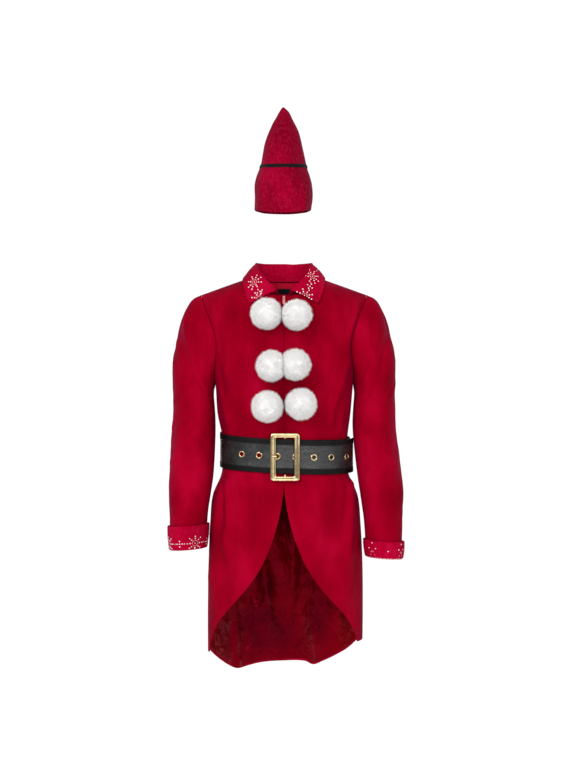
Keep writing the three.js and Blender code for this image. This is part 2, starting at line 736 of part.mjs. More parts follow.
// Collar: sections from the middle of the back to the front end. Each has the seam inside the
// neck, the fold at the top and the outer edge that lies on the shoulder
const COLLAR = [
  { seamX: 0, seamY: 43, seamZ: 0.2, foldX: 0, foldY: 52, foldZ: 45.5, edgeX: 0, edgeY: 84 },
  { seamX: 26, seamY: 38.5, seamZ: 0.2, foldX: 25, foldY: 48.5, foldZ: 45.5, edgeX: 31, edgeY: 80 },
  { seamX: 48, seamY: 28, seamZ: 0.5, foldX: 48, foldY: 37, foldZ: 45.5, edgeX: 62, edgeY: 67 },
  { seamX: 63.5, seamY: 15, seamZ: 2, foldX: 64, foldY: 20, foldZ: 45.5, edgeX: 88, edgeY: 43 },
  { seamX: 71, seamY: 0, seamZ: 3, foldX: 69.5, foldY: 0, foldZ: 44.5, edgeX: 100, edgeY: 8 },
  { seamX: 67.5, seamY: -22, seamZ: -1, foldX: 66, foldY: -22, foldZ: 37, edgeX: 102, edgeY: -26 },
  { seamX: 58, seamY: -43, seamZ: -15, foldX: 59.5, foldY: -46, foldZ: 19, edgeX: 99, edgeY: -56 },
  { seamX: 41, seamY: -59, seamZ: -32, foldX: 45, foldY: -68, foldZ: -2, edgeX: 92, edgeY: -76 },
  { seamX: 23, seamY: -60.5, seamZ: -43, foldX: 29, foldY: -80, foldZ: -16, edgeX: 87, edgeY: -83 },
  { seamX: 9, seamY: -62.5, seamZ: -47, foldX: 18, foldY: -87, foldZ: -27, edgeX: 81, edgeY: -87.5 },
];
const COLLAR_THICK = 2.0;
const COLLAR_LIFT = 4.2;
const COLLAR_FOLD_RADIUS = 2.6;
const COLLAR_SWELL = 1.5;

// Moves a point straight out of the yoke until it lies the wanted distance from it
function clearOfYoke(at, gap) {
  const side = at.y < 0 ? "front" : "back";
  const top = ridgeHeight(at.x);
  const share = Math.abs(at.x) / halfWidth(at.x, Math.min(at.z, YOKE_TOP_Z));
  const across = Math.max(0, 1 - share ** YOKE_SQUARE) ** (1 / YOKE_SQUARE);
  const depth = torso(YOKE_Z, side) * across;
  const rise = top - YOKE_Z;
  const u = Math.max(0, (at.z - YOKE_Z) / rise);
  const v = at.y / depth;
  const field = u * u + v * v - 1;
  const slope = new THREE.Vector3(0, (2 * v) / depth, (2 * u) / rise);
  const distance = field / slope.length();
  if (distance < gap) at.addScaledVector(slope.normalize(), gap - distance);
  return at;
}

// Height of the yoke's surface at a place seen from above
function yokeHeight(x, y) {
  const side = y < 0 ? "front" : "back";
  const share = Math.abs(x) / torso(YOKE_TOP_Z, "left");
  const depth = torso(YOKE_Z, side) * (1 - share ** YOKE_SQUARE) ** (1 / YOKE_SQUARE);
  const across = clamp(Math.abs(y) / depth, 0, 1);
  return YOKE_Z + (ridgeHeight(x) - YOKE_Z) * Math.sqrt(1 - across * across);
}

function collarCurve(section, mirror) {
  const seam = new THREE.Vector3(mirror * section.seamX, section.seamY, section.seamZ);
  const fold = new THREE.Vector3(mirror * section.foldX, section.foldY, section.foldZ);
  const edgeZ = yokeHeight(section.edgeX, section.edgeY) + COLLAR_LIFT;
  const edge = new THREE.Vector3(mirror * section.edgeX, section.edgeY, edgeZ);
  const out = new THREE.Vector3().subVectors(edge, fold).setZ(0).normalize();
  const up = new THREE.Vector3(0, 0, 1);
  const radius = COLLAR_FOLD_RADIUS;
  const inner = fold.clone().addScaledVector(out, -radius).addScaledVector(up, -radius * 1.6);
  const outer = fold.clone().addScaledVector(out, radius).addScaledVector(up, -radius * 1.2);
  const midStand = new THREE.Vector3().lerpVectors(seam, inner, 0.5);
  const upper = new THREE.Vector3().lerpVectors(outer, edge, 0.3).addScaledVector(out, COLLAR_SWELL);
  const lower = new THREE.Vector3().lerpVectors(outer, edge, 0.66).addScaledVector(out, COLLAR_SWELL);
  upper.z += COLLAR_SWELL;
  lower.z += COLLAR_SWELL;
  const curve = [seam, midStand, inner, fold, outer, upper, lower, edge];
  for (let i = 4; i < curve.length; i += 1) clearOfYoke(curve[i], COLLAR_LIFT);
  return curve;
}

function collarSheet() {
  const halves = COLLAR.map((section) => collarCurve(section, 1));
  const mirrored = COLLAR.slice(1).map((section) => collarCurve(section, -1));
  const around = [...mirrored.reverse(), ...halves];
  const points = [];
  for (let j = 0; j < around[0].length; j += 1) points.push(around.map((curve) => curve[j]));
  const normals = points.map((line, j) =>
    line.map((at, i) => {
      const next = line[Math.min(line.length - 1, i + 1)];
      const last = line[Math.max(0, i - 1)];
      const above = points[Math.max(0, j - 1)][i];
      const below = points[Math.min(points.length - 1, j + 1)][i];
      const along = new THREE.Vector3().subVectors(next, last);
      const across = new THREE.Vector3().subVectors(below, above);
      return along.cross(across).normalize();
    }),
  );
  return { points, normals };
}
const collar = collarSheet();
const collarOuter = offsetSheet(collar, -COLLAR_THICK / 2);
const collarInner = offsetSheet(collar, COLLAR_THICK / 2);
addMesh("collar", facingOut(wallFromSheets(collarOuter, collarInner)), colours.print);

// A bare label on the back lining, below the neck
const LABEL_THICK = 0.7;
const LABEL_GAP = 1.2;
const LABEL_ROWS = [0.78, 1, 1.3];
const LABEL_COLUMNS = [-0.36, 0, 0.36];

function gridPoint(points, row, column) {
  const j = Math.floor(row);
  const i = Math.floor(column);
  const top = points[j][i].clone().lerp(points[j][i + 1], column - i);
  const low = points[j + 1][i].clone().lerp(points[j + 1][i + 1], column - i);
  return top.lerp(low, row - j);
}

function labelSheet(depth) {
  const face = offsetSheet(liningBack, LINING_DEPTH + SATIN + depth);
  const middle = BACK_COLUMNS / 2;
  return LABEL_ROWS.map((row) => LABEL_COLUMNS.map((c) => gridPoint(face, row, middle + c)));
}
const labelWall = wallFromSheets(labelSheet(LABEL_GAP), labelSheet(LABEL_GAP + LABEL_THICK));
addMesh("neck_label", facingOut(labelWall), colours.label);

// Depth of the coat's front at the centre line
function frontDepth(z) {
  return torso(z, "front") * yokeShare(0, z) + SEAM_GAP / 2;
}

// Centre front zip: one tape with its closed teeth behind the two front edges
const ZIP_TOP = -48;
const ZIP_BOTTOM = -471;
const ZIP_TAPE_HALF = 13;
const ZIP_TAPE_THICK = 1.0;
const ZIP_TEETH_HALF = 2.6;
const ZIP_TEETH_THICK = 1.6;
const ZIP_BEHIND = 2.3;
const ZIP_TAPE_CURL = 0.9;
const ZIP_STEPS = 14;

function zipTape() {
  const sections = [];
  for (let k = 0; k <= ZIP_STEPS; k += 1) {
    const z = ZIP_TOP + ((ZIP_BOTTOM - ZIP_TOP) * k) / ZIP_STEPS;
    const face = -frontDepth(z) + VELVET + ZIP_BEHIND;
    const edge = face + ZIP_TAPE_CURL;
    const profile = [
      [-ZIP_TAPE_HALF, edge],
      [-ZIP_TEETH_HALF, face],
      [-ZIP_TEETH_HALF, face - ZIP_TEETH_THICK],
      [ZIP_TEETH_HALF, face - ZIP_TEETH_THICK],
      [ZIP_TEETH_HALF, face],
      [ZIP_TAPE_HALF, edge],
      [ZIP_TAPE_HALF, edge + ZIP_TAPE_THICK],
      [0, face + ZIP_TAPE_THICK],
      [-ZIP_TAPE_HALF, edge + ZIP_TAPE_THICK],
    ];
    sections.push(profile.map(([x, y]) => new THREE.Vector3(x, y, z)));
  }
  return tubeOfSections(sections);
}

// A tube with flat ends whose section is a closed loop
function tubeOfSections(sections) {
  const loop = sections[0].length;
  const positions = [];
  for (const section of sections) {
    for (const p of section) positions.push(p.x, p.y, p.z);
  }
  const triangles = [];
  for (let k = 0; k < sections.length - 1; k += 1) {
    for (let m = 0; m < loop; m += 1) {
      const a = k * loop + m;
      const b = k * loop + ((m + 1) % loop);
      triangles.push(a, b, b + loop, a, b + loop, a + loop);
    }
  }
  const flat = sections[0].map((p) => new THREE.Vector2(p.x, p.y));
  const faces = THREE.ShapeUtils.triangulateShape(flat, []);
  const end = (sections.length - 1) * loop;
  for (const [a, b, c] of faces) triangles.push(c, b, a, end + a, end + b, end + c);
  return facingOut(solidFromTriangles(positions, triangles));
}
addMesh("zip_tape", zipTape(), colours.velvet);

// Slider at the top of the zip, with a bridge that its pull tab hangs on
const SLIDER_TOP = -43;
const SLIDER_HEIGHT = 11;
const SLIDER_HALF = 2.9;
const SLIDER_DEPTH = 5;
const BRIDGE_HALF = 1.1;
const BRIDGE_DROP = 1.5;
const BRIDGE_HEIGHT = 6;
const BRIDGE_WIRE = 1.1;
const BRIDGE_REACH = 3.6;
const PULL_LENGTH = 17;
const PULL_HALF = 3.2;
const PULL_THICK = 1.1;
const PULL_EYE = 5.2;
const PULL_BAR = 1.2;
const PULL_SLACK = 0.35;
const PULL_TOP_HALF = 2.6;
const PULL_CHAMFER = 1.5;

function box(x0, x1, y0, y1, z0, z1) {
  const geometry = new THREE.BoxGeometry(x1 - x0, y1 - y0, z1 - z0);
  geometry.translate((x0 + x1) / 2, (y0 + y1) / 2, (z0 + z1) / 2);
  return geometry;
}

function toSolid(geometry) {
  let bare = geometry.clone();
  bare.deleteAttribute("normal");
  bare.deleteAttribute("uv");
  bare = mergeVertices(bare, 1e-4);
  const vertProperties = bare.attributes.position.array;
  const triVerts = new Uint32Array(bare.index.array);
  return new wasm.Manifold(new wasm.Mesh({ numProp: 3, vertProperties, triVerts }));
}

function toGeometry(solid) {
  const mesh = solid.getMesh();
  return solidFromTriangles(Array.from(mesh.vertProperties), Array.from(mesh.triVerts));
}

function joined(geometries) {
  let solid = toSolid(geometries[0]);
  for (const geometry of geometries.slice(1)) solid = solid.add(toSolid(geometry));
  return toGeometry(solid);
}

// The slider fills the channel between the fronts, just ahead of the closed teeth
const sliderLow = SLIDER_TOP - SLIDER_HEIGHT;
const sliderBack = -frontDepth(sliderLow) + VELVET + ZIP_BEHIND - ZIP_TEETH_THICK - LAYER_GAP;
const sliderFront = sliderBack - SLIDER_DEPTH;
const bridgeTop = SLIDER_TOP - BRIDGE_DROP;
const bridgeLow = bridgeTop - BRIDGE_HEIGHT;
const bridgeOuter = sliderFront - BRIDGE_REACH;
const slider = joined([
  box(-SLIDER_HALF, SLIDER_HALF, sliderFront, sliderBack, sliderLow, SLIDER_TOP),
  box(-BRIDGE_HALF, BRIDGE_HALF, bridgeOuter, sliderFront + 0.2, bridgeTop - BRIDGE_WIRE, bridgeTop),
  box(-BRIDGE_HALF, BRIDGE_HALF, bridgeOuter, sliderFront + 0.2, bridgeLow, bridgeLow + BRIDGE_WIRE),
  box(-BRIDGE_HALF, BRIDGE_HALF, bridgeOuter, bridgeOuter + BRIDGE_WIRE, bridgeLow, bridgeTop),
]);
addMesh("zip_slider", slider, colours.gold);

// The pull tab's eye goes round the bridge; its bar lies between the bridge and the slider
const pullPivotY = (sliderFront + bridgeOuter + BRIDGE_WIRE) / 2;
const pullPivotZ = bridgeTop - BRIDGE_WIRE - PULL_BAR / 2 - PULL_SLACK;
function pullTab() {
  const y0 = pullPivotY - PULL_THICK / 2;
  const y1 = pullPivotY + PULL_THICK / 2;
  const top = pullPivotZ + PULL_BAR / 2;
  const eyeHalf = BRIDGE_HALF + LAYER_GAP;
  const low = top - PULL_LENGTH;
  const eyeLow = pullPivotZ - PULL_EYE;
  const outline = new THREE.Shape();
  outline.moveTo(-PULL_TOP_HALF, top);
  outline.lineTo(PULL_TOP_HALF, top);
  outline.lineTo(PULL_HALF, eyeLow);
  outline.lineTo(PULL_HALF, low + PULL_CHAMFER);
  outline.lineTo(PULL_HALF - PULL_CHAMFER, low);
  outline.lineTo(-PULL_HALF + PULL_CHAMFER, low);
  outline.lineTo(-PULL_HALF, low + PULL_CHAMFER);
  outline.lineTo(-PULL_HALF, eyeLow);
  const plate = new THREE.ExtrudeGeometry(outline, { depth: y1 - y0, bevelEnabled: false });
  plate.rotateX(Math.PI / 2);
  plate.translate(0, y1, 0);
  const eye = box(-eyeHalf, eyeHalf, y0 - 1, y1 + 1, eyeLow, top - PULL_BAR);
  return toGeometry(toSolid(plate).subtract(toSolid(eye)));
}
addMesh("zip_pull", pullTab(), colours.gold);

// Pompoms: tapered three-sided locks on every face of a round core, pressed flat on the coat
// and against their neighbour
const CORE_SHARE = 0.66;
const LOCK_TAPER = 0.34;
const POMPOM_SIT = 0.86;
const POMPOM_GAP = 0.5;

function spherePoints(count, turn) {
  const golden = Math.PI * (3 - Math.sqrt(5));
  const points = [];
  for (let i = 0; i < count; i += 1) {
    const z = 1 - (2 * i + 1) / count;
    const round = Math.sqrt(1 - z * z);
    const angle = golden * i + turn;
    points.push(new THREE.Vector3(round * Math.cos(angle), round * Math.sin(angle), z));
  }
  return points;
}

function coatNormalAt(x, z) {
  const depthAt = (px, pz) => {
    const share = Math.abs(px) / halfWidth(px, pz);
    const square = torso(pz, "square");
    return torso(pz, "front") * (1 - share ** square) ** (1 / square) * yokeShare(px, pz);
  };
  const step = 2;
  const slopeX = (depthAt(x + step, z) - depthAt(x - step, z)) / (2 * step);
  const slopeZ = (depthAt(x, z + step) - depthAt(x, z - step)) / (2 * step);
  const normal = new THREE.Vector3(-slopeX, -1, -slopeZ).normalize();
  return { normal, surface: new THREE.Vector3(x, -depthAt(x, z) - SEAM_GAP / 2, z) };
}

// Each pompom's centre stands out from the coat's surface behind it
const pompomCentres = POMPOMS.map((pompom) => {
  let at = coatNormalAt(pompom.x, pompom.z);
  const away = pompom.r * POMPOM_SIT;
  const centre = at.surface.clone().addScaledVector(at.normal, away);
  centre.x = pompom.x;
  centre.z = pompom.z;
  return centre;
});

function pompom(index) {
  const { r, x, z } = POMPOMS[index];
  const centre = pompomCentres[index];
  const planes = [];
  const back = coatNormalAt(x, z);
  const behind = back.normal.clone().negate();
  const reach = new THREE.Vector3().subVectors(back.surface, centre).dot(behind) - POMPOM_GAP;
  planes.push({ normal: behind, reach: Math.min(reach, r) });
  pompomCentres.forEach((other, k) => {
    if (k === index) return;
    const between = new THREE.Vector3().subVectors(other, centre);
    const distance = between.length();
    if (distance > r * 2.2) return;
    planes.push({ normal: between.normalize(), reach: distance / 2 - POMPOM_GAP / 2 });
  });
  const turn = index * 1.3;
  const hull = new ConvexGeometry(spherePoints(LOCK_POINTS, turn)).attributes.position;
  const triangles = [];
  const place = (direction, radius) => {
    let reached = radius;
    for (const plane of planes) {
      const facing = direction.dot(plane.normal);
      if (facing > 0.05) reached = Math.min(reached, plane.reach / facing);
    }
    return centre.clone().addScaledVector(direction, reached);
  };
  const push = (...points) => {
    for (const p of points) triangles.push(p.x, p.y, p.z);
  };
  for (let i = 0; i < hull.count; i += 3) {
    const corners = [0, 1, 2].map((k) => new THREE.Vector3().fromBufferAttribute(hull, i + k));
    const middle = new THREE.Vector3();
    for (const corner of corners) middle.add(corner);
    middle.normalize();
    const length = r * (1 + 0.03 * Math.sin(i * 2.1 + index));
    const roots = corners.map((c) => place(c, r * CORE_SHARE));
    const tips = corners.map((c) => place(c.clone().lerp(middle, LOCK_TAPER).normalize(), length));
    for (let k = 0; k < 3; k += 1) {
      const next = (k + 1) % 3;
      push(roots[k], roots[next], tips[next]);
      push(roots[k], tips[next], tips[k]);
    }
    push(tips[0], tips[1], tips[2]);
  }
  const geometry = new THREE.BufferGeometry();
  geometry.setAttribute("position", new THREE.Float32BufferAttribute(triangles, 3));
  const merged = mergeVertices(geometry, 1e-3);
  merged.computeVertexNormals();
  return facingOut(merged);
}
POMPOMS.forEach(({ name }, index) => addMesh(name, pompom(index), colours.fur));

// One dark bead at the centre front, between the lowest pompoms
const BEAD_X = -1.5;
const BEAD_Z = -313;
const BEAD_RADIUS = 5;
const BEAD_GAP = 0.4;
const bead = new THREE.LatheGeometry(
  [
    new THREE.Vector2(0, 0),
    new THREE.Vector2(4.2, 0),
    new THREE.Vector2(BEAD_RADIUS, 1.6),
    new THREE.Vector2(3.8, 4.2),
    new THREE.Vector2(0, 5.4),
  ],
  10,
);
bead.rotateX(Math.PI);
bead.translate(BEAD_X, -frontDepth(BEAD_Z) - BEAD_GAP, BEAD_Z);
const beadBody = mergeVertices(bead.deleteAttribute("uv").deleteAttribute("normal"), 1e-3);
beadBody.computeVertexNormals();
addMesh("front_bead", facingOut(beadBody), colours.label);

// Belt: one strap that starts at the buckle's rear bar, goes once round the waist, passes
// through the buckle and lies over its own start
const BELT_CLEAR = 1.0;
const LAYER_STEP = BELT_THICK + 0.6;
const BELT_STEP = 12;
const BELT_WAIST = { right: 156.5, left: 161.5, front: 94.5, back: 87.5, square: 2.2 };
const RING_STEPS = 720;
const BAR_HALF = 2.4;
const BAR_THICK = 3.4;
const BAR_SEAT = BELT_CLEAR + 0.9;
const FREE_END = 197;
const FREE_END_FLARE = 5;
const FLARE_LENGTH = 75;
// Where the strap climbs onto its own start, and onto the buckle's bar
const LAP_BEFORE = 70;
const LAP_RISE = 45;
const BAR_RISE_HALF = 32;
const BAR_RISE = 16;

function waistPoint(turn) {
  const { right, left, front, back, square } = BELT_WAIST;
  const sine = Math.sin(turn);
  const cosine = Math.cos(turn);
  const power = 2 / square;
  const x = Math.sign(sine) * (sine < 0 ? right : left) * Math.abs(sine) ** power;
  const y = -Math.sign(cosine) * (cosine > 0 ? front : back) * Math.abs(cosine) ** power;
  return new THREE.Vector2(x, y);
}

// The waist line by its length from the centre front, towards the wearer's left
const waistLine = [];
{
  let length = 0;
  let last = waistPoint(0);
  for (let i = 0; i <= RING_STEPS; i += 1) {
    const at = waistPoint((2 * Math.PI * i) / RING_STEPS);
    length += at.distanceTo(last);
    waistLine.push({ at, length });
    last = at;
  }
}
const WAIST_LENGTH = waistLine[RING_STEPS].length;

function onWaist(length, out) {
  const along = ((length % WAIST_LENGTH) + WAIST_LENGTH) % WAIST_LENGTH;
  let i = 1;
  while (i < RING_STEPS && waistLine[i].length < along) i += 1;
  const a = waistLine[i - 1];
  const b = waistLine[i];
  const share = (along - a.length) / Math.max(1e-6, b.length - a.length);
  const at = a.at.clone().lerp(b.at, share);
  const wide = 4;
  const before = waistLine[(i - wide + RING_STEPS) % RING_STEPS].at;
  const after = waistLine[(i + wide) % RING_STEPS].at;
  const direction = new THREE.Vector2().subVectors(after, before).normalize();
  const normal = new THREE.Vector2(direction.y, -direction.x);
  return { at: at.addScaledVector(normal, out), normal };
}

// The belt hangs lower in front, and lower on the wearer's left
function beltHeight(x, y) {
  const drop = BELT_FRONT_DROP * clamp(-y / BELT_WAIST.front, -1, 1);
  return BELT_Z - drop - BELT_TILT * (x / BELT_WAIST.left);
}

// How far the strap's middle lies outside the waist line at each length along the strap
const STRAP_START = BUCKLE_X + BAR_HALF + 0.4;
const STRAP_END = WAIST_LENGTH + FREE_END;
function strapReach(length) {
  const first = BELT_CLEAR + BELT_THICK / 2;
  const second = first + LAYER_STEP;
  const overBar = BAR_SEAT + BAR_THICK + 0.5 + BELT_THICK / 2;
  const start = WAIST_LENGTH - LAP_BEFORE;
  let reach = first + (second - first) * smooth((length - start) / LAP_RISE);
  const fromBar = Math.abs(length - WAIST_LENGTH - BUCKLE_X);
  reach += (overBar - second) * smooth((BAR_RISE_HALF - fromBar) / BAR_RISE);
  const tail = smooth((length - STRAP_END + FLARE_LENGTH) / FLARE_LENGTH);
  return reach + FREE_END_FLARE * tail;
}

function ribbon(stations, halfHeight, thickness) {
  const sections = stations.map(({ at, normal, z }) => {
    const corner = (out, up) =>
      new THREE.Vector3(at.x + normal.x * out, at.y + normal.y * out, z + up * halfHeight);
    const half = thickness / 2;
    return [corner(half, 1), corner(half, -1), corner(-half, -1), corner(-half, 1)];
  });
  const positions = [];
  for (const section of sections) {
    for (const p of section) positions.push(p.x, p.y, p.z);
  }
  const triangles = [0, 1, 2, 0, 2, 3];
  for (let k = 0; k < sections.length - 1; k += 1) {
    for (let m = 0; m < 4; m += 1) {
      const a = k * 4 + m;
      const b = k * 4 + ((m + 1) % 4);
      triangles.push(a, a + 4, b + 4, a, b + 4, b);
    }
  }
  const end = (sections.length - 1) * 4;
  triangles.push(end, end + 2, end + 1, end, end + 3, end + 2);
  return facingOut(solidFromTriangles(positions, triangles));
}

function strapStation(length) {
  const { at, normal } = onWaist(length, strapReach(length));
  return { at, normal, z: beltHeight(at.x, at.y) };
}

const strapStations = [];
const strapSteps = Math.round((STRAP_END - STRAP_START) / BELT_STEP);
for (let i = 0; i <= strapSteps; i += 1) {
  const length = STRAP_START + ((STRAP_END - STRAP_START) * i) / strapSteps;
  strapStations.push(strapStation(length));
}

// Eyelets stand on the outer layer where it crosses the front
const eyeletStations = [];
for (let i = 0; i < EYELET_COUNT; i += 1) {
  eyeletStations.push(strapStation(WAIST_LENGTH + EYELET_FIRST + EYELET_PITCH * i));
}

function alongNormal(geometry, station, lift) {
  const { at, normal, z } = station;
  const turn = new THREE.Quaternion().setFromUnitVectors(
    new THREE.Vector3(0, 1, 0),
    new THREE.Vector3(normal.x, normal.y, 0),
  );
  geometry.applyQuaternion(turn);
  geometry.translate(at.x + normal.x * lift, at.y + normal.y * lift, z);
  return geometry;
}

let strap = toSolid(ribbon(strapStations, BELT_HEIGHT / 2, BELT_THICK));
eyeletStations.forEach((station) => {
  const drill = new THREE.CylinderGeometry(STRAP_HOLE, STRAP_HOLE, BELT_THICK + 1.2, 12);
  strap = strap.subtract(toSolid(alongNormal(drill, station, 0)));
});
addMesh("belt_strap", toGeometry(strap), colours.leather);

const EYELET_SIDES = 10;
const EYELET_RISE = 1.2;
const EYELET_SEAT = 0.6;
function eyelet() {
  const face = BELT_THICK / 2 + EYELET_SEAT;
  const profile = [
    new THREE.Vector2(EYELET_INNER, -BELT_THICK / 2),
    new THREE.Vector2(EYELET_INNER + 0.7, -BELT_THICK / 2),
    new THREE.Vector2(EYELET_INNER + 0.7, face),
    new THREE.Vector2(EYELET_OUTER, face),
    new THREE.Vector2(EYELET_OUTER - 1.6, face + EYELET_RISE),
    new THREE.Vector2(EYELET_INNER, face + EYELET_RISE * 0.7),
    new THREE.Vector2(EYELET_INNER, -BELT_THICK / 2),
  ];
  const lathe = new THREE.LatheGeometry(profile, EYELET_SIDES);
  return mergeVertices(lathe.deleteAttribute("uv").deleteAttribute("normal"), 1e-3);
}
eyeletStations.forEach((station, i) => {
  const ring = alongNormal(eyelet(), station, 0);
  ring.computeVertexNormals();
  addMesh(`eyelet_${i + 1}`, facingOut(ring), colours.gold);
});

// Buckle: a bevelled frame in front of the strap and a bar behind it, joined above and below
function roundedRectangle(target, halfX, halfZ, radius) {
  target.moveTo(-halfX + radius, -halfZ);
  target.lineTo(halfX - radius, -halfZ);
  target.absarc(halfX - radius, -halfZ + radius, radius, -Math.PI / 2, 0, false);
  target.lineTo(halfX, halfZ - radius);
  target.absarc(halfX - radius, halfZ - radius, radius, 0, Math.PI / 2, false);
  target.lineTo(-halfX + radius, halfZ);
  target.absarc(-halfX + radius, halfZ - radius, radius, Math.PI / 2, Math.PI, false);
  target.lineTo(-halfX, -halfZ + radius);
  target.absarc(-halfX + radius, -halfZ + radius, radius, Math.PI, 1.5 * Math.PI, false);
  return target;
}

const BUCKLE_BEVEL = 2.2;
const BUCKLE_RADIUS = 8;
const BUCKLE_OPEN_RADIUS = 3;
const BUCKLE_RAIL = BUCKLE_BAR * 0.86;
const BAR_OVERLAP = 5;
const BUCKLE_GAP = EYELET_SEAT + EYELET_RISE + 0.4;
const buckleStation = strapStation(WAIST_LENGTH + BUCKLE_X);
const buckleBack = buckleStation.at.y - BELT_THICK / 2 - BUCKLE_GAP;
const buckleFront = buckleBack - BUCKLE_THICK;
function buckleFrame() {
  const halfX = BUCKLE_WIDTH / 2 - BUCKLE_BEVEL;
  const halfZ = BUCKLE_HEIGHT / 2 - BUCKLE_BEVEL;
  const outline = roundedRectangle(new THREE.Shape(), halfX, halfZ, BUCKLE_RADIUS - BUCKLE_BEVEL);
  const openX = BUCKLE_WIDTH / 2 - BUCKLE_BAR + BUCKLE_BEVEL;
  const openZ = BUCKLE_HEIGHT / 2 - BUCKLE_RAIL + BUCKLE_BEVEL;
  outline.holes.push(roundedRectangle(new THREE.Path(), openX, openZ, BUCKLE_OPEN_RADIUS));
  const frame = new THREE.ExtrudeGeometry(outline, {
    depth: BUCKLE_THICK - BUCKLE_BEVEL,
    bevelEnabled: true,
    bevelSize: BUCKLE_BEVEL,
    bevelThickness: BUCKLE_BEVEL,
    bevelSegments: 1,
    curveSegments: 3,
  });
  frame.rotateX(Math.PI / 2);
  frame.translate(BUCKLE_X, buckleBack, BUCKLE_Z);
  const keepFront = box(-50, 50, buckleFront - 10, buckleBack, -80, 80);
  keepFront.translate(BUCKLE_X, 0, BUCKLE_Z);
  const barBack = onWaist(BUCKLE_X, BAR_SEAT).at.y;
  const barFront = barBack - BAR_THICK;
  const strapTop = BELT_HEIGHT / 2 + BELT_Z - BELT_FRONT_DROP - BUCKLE_Z + 1.2;
  const strapLow = -BELT_HEIGHT / 2 + BELT_Z - BELT_FRONT_DROP - BUCKLE_Z - 1.2;
  const barTop = BUCKLE_HEIGHT / 2 - BUCKLE_RAIL + BAR_OVERLAP;
  const bar = box(-BAR_HALF, BAR_HALF, barFront, barBack, -barTop, barTop);
  const stubTop = box(-BAR_HALF, BAR_HALF, buckleBack - 2, barFront + 1, strapTop, barTop);
  const stubLow = box(-BAR_HALF, BAR_HALF, buckleBack - 2, barFront + 1, -barTop, strapLow);
  for (const piece of [bar, stubTop, stubLow]) piece.translate(BUCKLE_X, 0, BUCKLE_Z);
  let solid = toSolid(frame).intersect(toSolid(keepFront));
  for (const piece of [bar, stubTop, stubLow]) solid = solid.add(toSolid(piece));
  return toGeometry(solid);
}
addMesh("buckle_frame", buckleFrame(), colours.gold);

// The prong lies from the bar through the third eyelet and over the frame's right-hand bar
const PRONG_HALF = 2.0;
const PRONG_THICK = 1.8;
const PRONG_TIP = 13.5;
function prong() {
  const hole = eyeletStations[2].at;
  const behind = onWaist(BUCKLE_X, BAR_SEAT).at.y - BAR_THICK / 2;
  const front = buckleFront - 0.4 - PRONG_THICK / 2;
  const route = [
    // from the bar, back to the hole, out through it and across the frame
    [BUCKLE_X - BAR_HALF - 0.4, behind],
    [hole.x + 3.2, behind - 0.4],
    [hole.x + 1.0, hole.y - 2.6],
    [hole.x - 0.6, front + 1.6],
    [hole.x - 3.6, front],
    [hole.x - PRONG_TIP, front + 0.1],
  ].map(([x, y]) => new THREE.Vector2(x, y));
  const stations = route.map((at, k) => {
    const before = route[Math.max(0, k - 1)];
    const after = route[Math.min(route.length - 1, k + 1)];
    const direction = new THREE.Vector2().subVectors(before, after).normalize();
    return { at, normal: new THREE.Vector2(direction.y, -direction.x), z: eyeletStations[2].z };
  });
  return ribbon(stations, PRONG_HALF, PRONG_THICK);
}
addMesh("buckle_prong", prong(), colours.gold);

// Hat: a front and a back panel, sewn at the sides, with a thin band
const HAT_COLUMNS = 10;
const HAT_SQUARE = 2.1;
const HAT_FRONT_DROP = 18;
const HAT_FOLD_TOP = 274;
const HAT_FOLD_FADE = 16;
const HAT_FOLDS = [
  { side: "front", x1: -16, z1: 262, x2: 32, z2: 182, width: 7, height: -4 },
  { side: "front", x1: 46, z1: 238, x2: 50, z2: 176, width: 8, height: 4 },
  { side: "front", x1: -44, z1: 236, x2: -40, z2: 178, width: 9, height: -3 },
  { side: "back", x1: 26, z1: 258, x2: -20, z2: 186, width: 9, height: -4 },
  { side: "back", x1: -46, z1: 240, x2: -50, z2: 182, width: 9, height: 4 },
];

function hatPoint(side, share, row) {
  const section = HAT[row];
  const turn = (Math.PI / 2) * share;
  const power = 2 / HAT_SQUARE;
  const middle = (section.left - section.right) / 2;
  const half = (section.left + section.right) / 2;
  const x = middle + half * Math.sign(turn) * Math.abs(Math.sin(turn)) ** power;
  const forward = side === "front" ? -1 : 1;
  const y = forward * section.depth * Math.cos(turn) ** power;
  const bottom = HAT[HAT.length - 1].z;
  const low = smooth((HAT_BAND_Z - section.z) / (HAT_BAND_Z - bottom));
  const tilt = HAT_BAND_TILT * smooth((HAT[0].z - section.z) / (HAT[0].z - HAT_BAND_Z));
  const front = tilt + (HAT_FRONT_DROP - HAT_BAND_TILT) * low;
  const back = -tilt * (1 - low);
  const drop = (side === "front" ? front : back) * Math.cos(turn) ** 1.2;
  return new THREE.Vector3(x, y, section.z - drop);
}

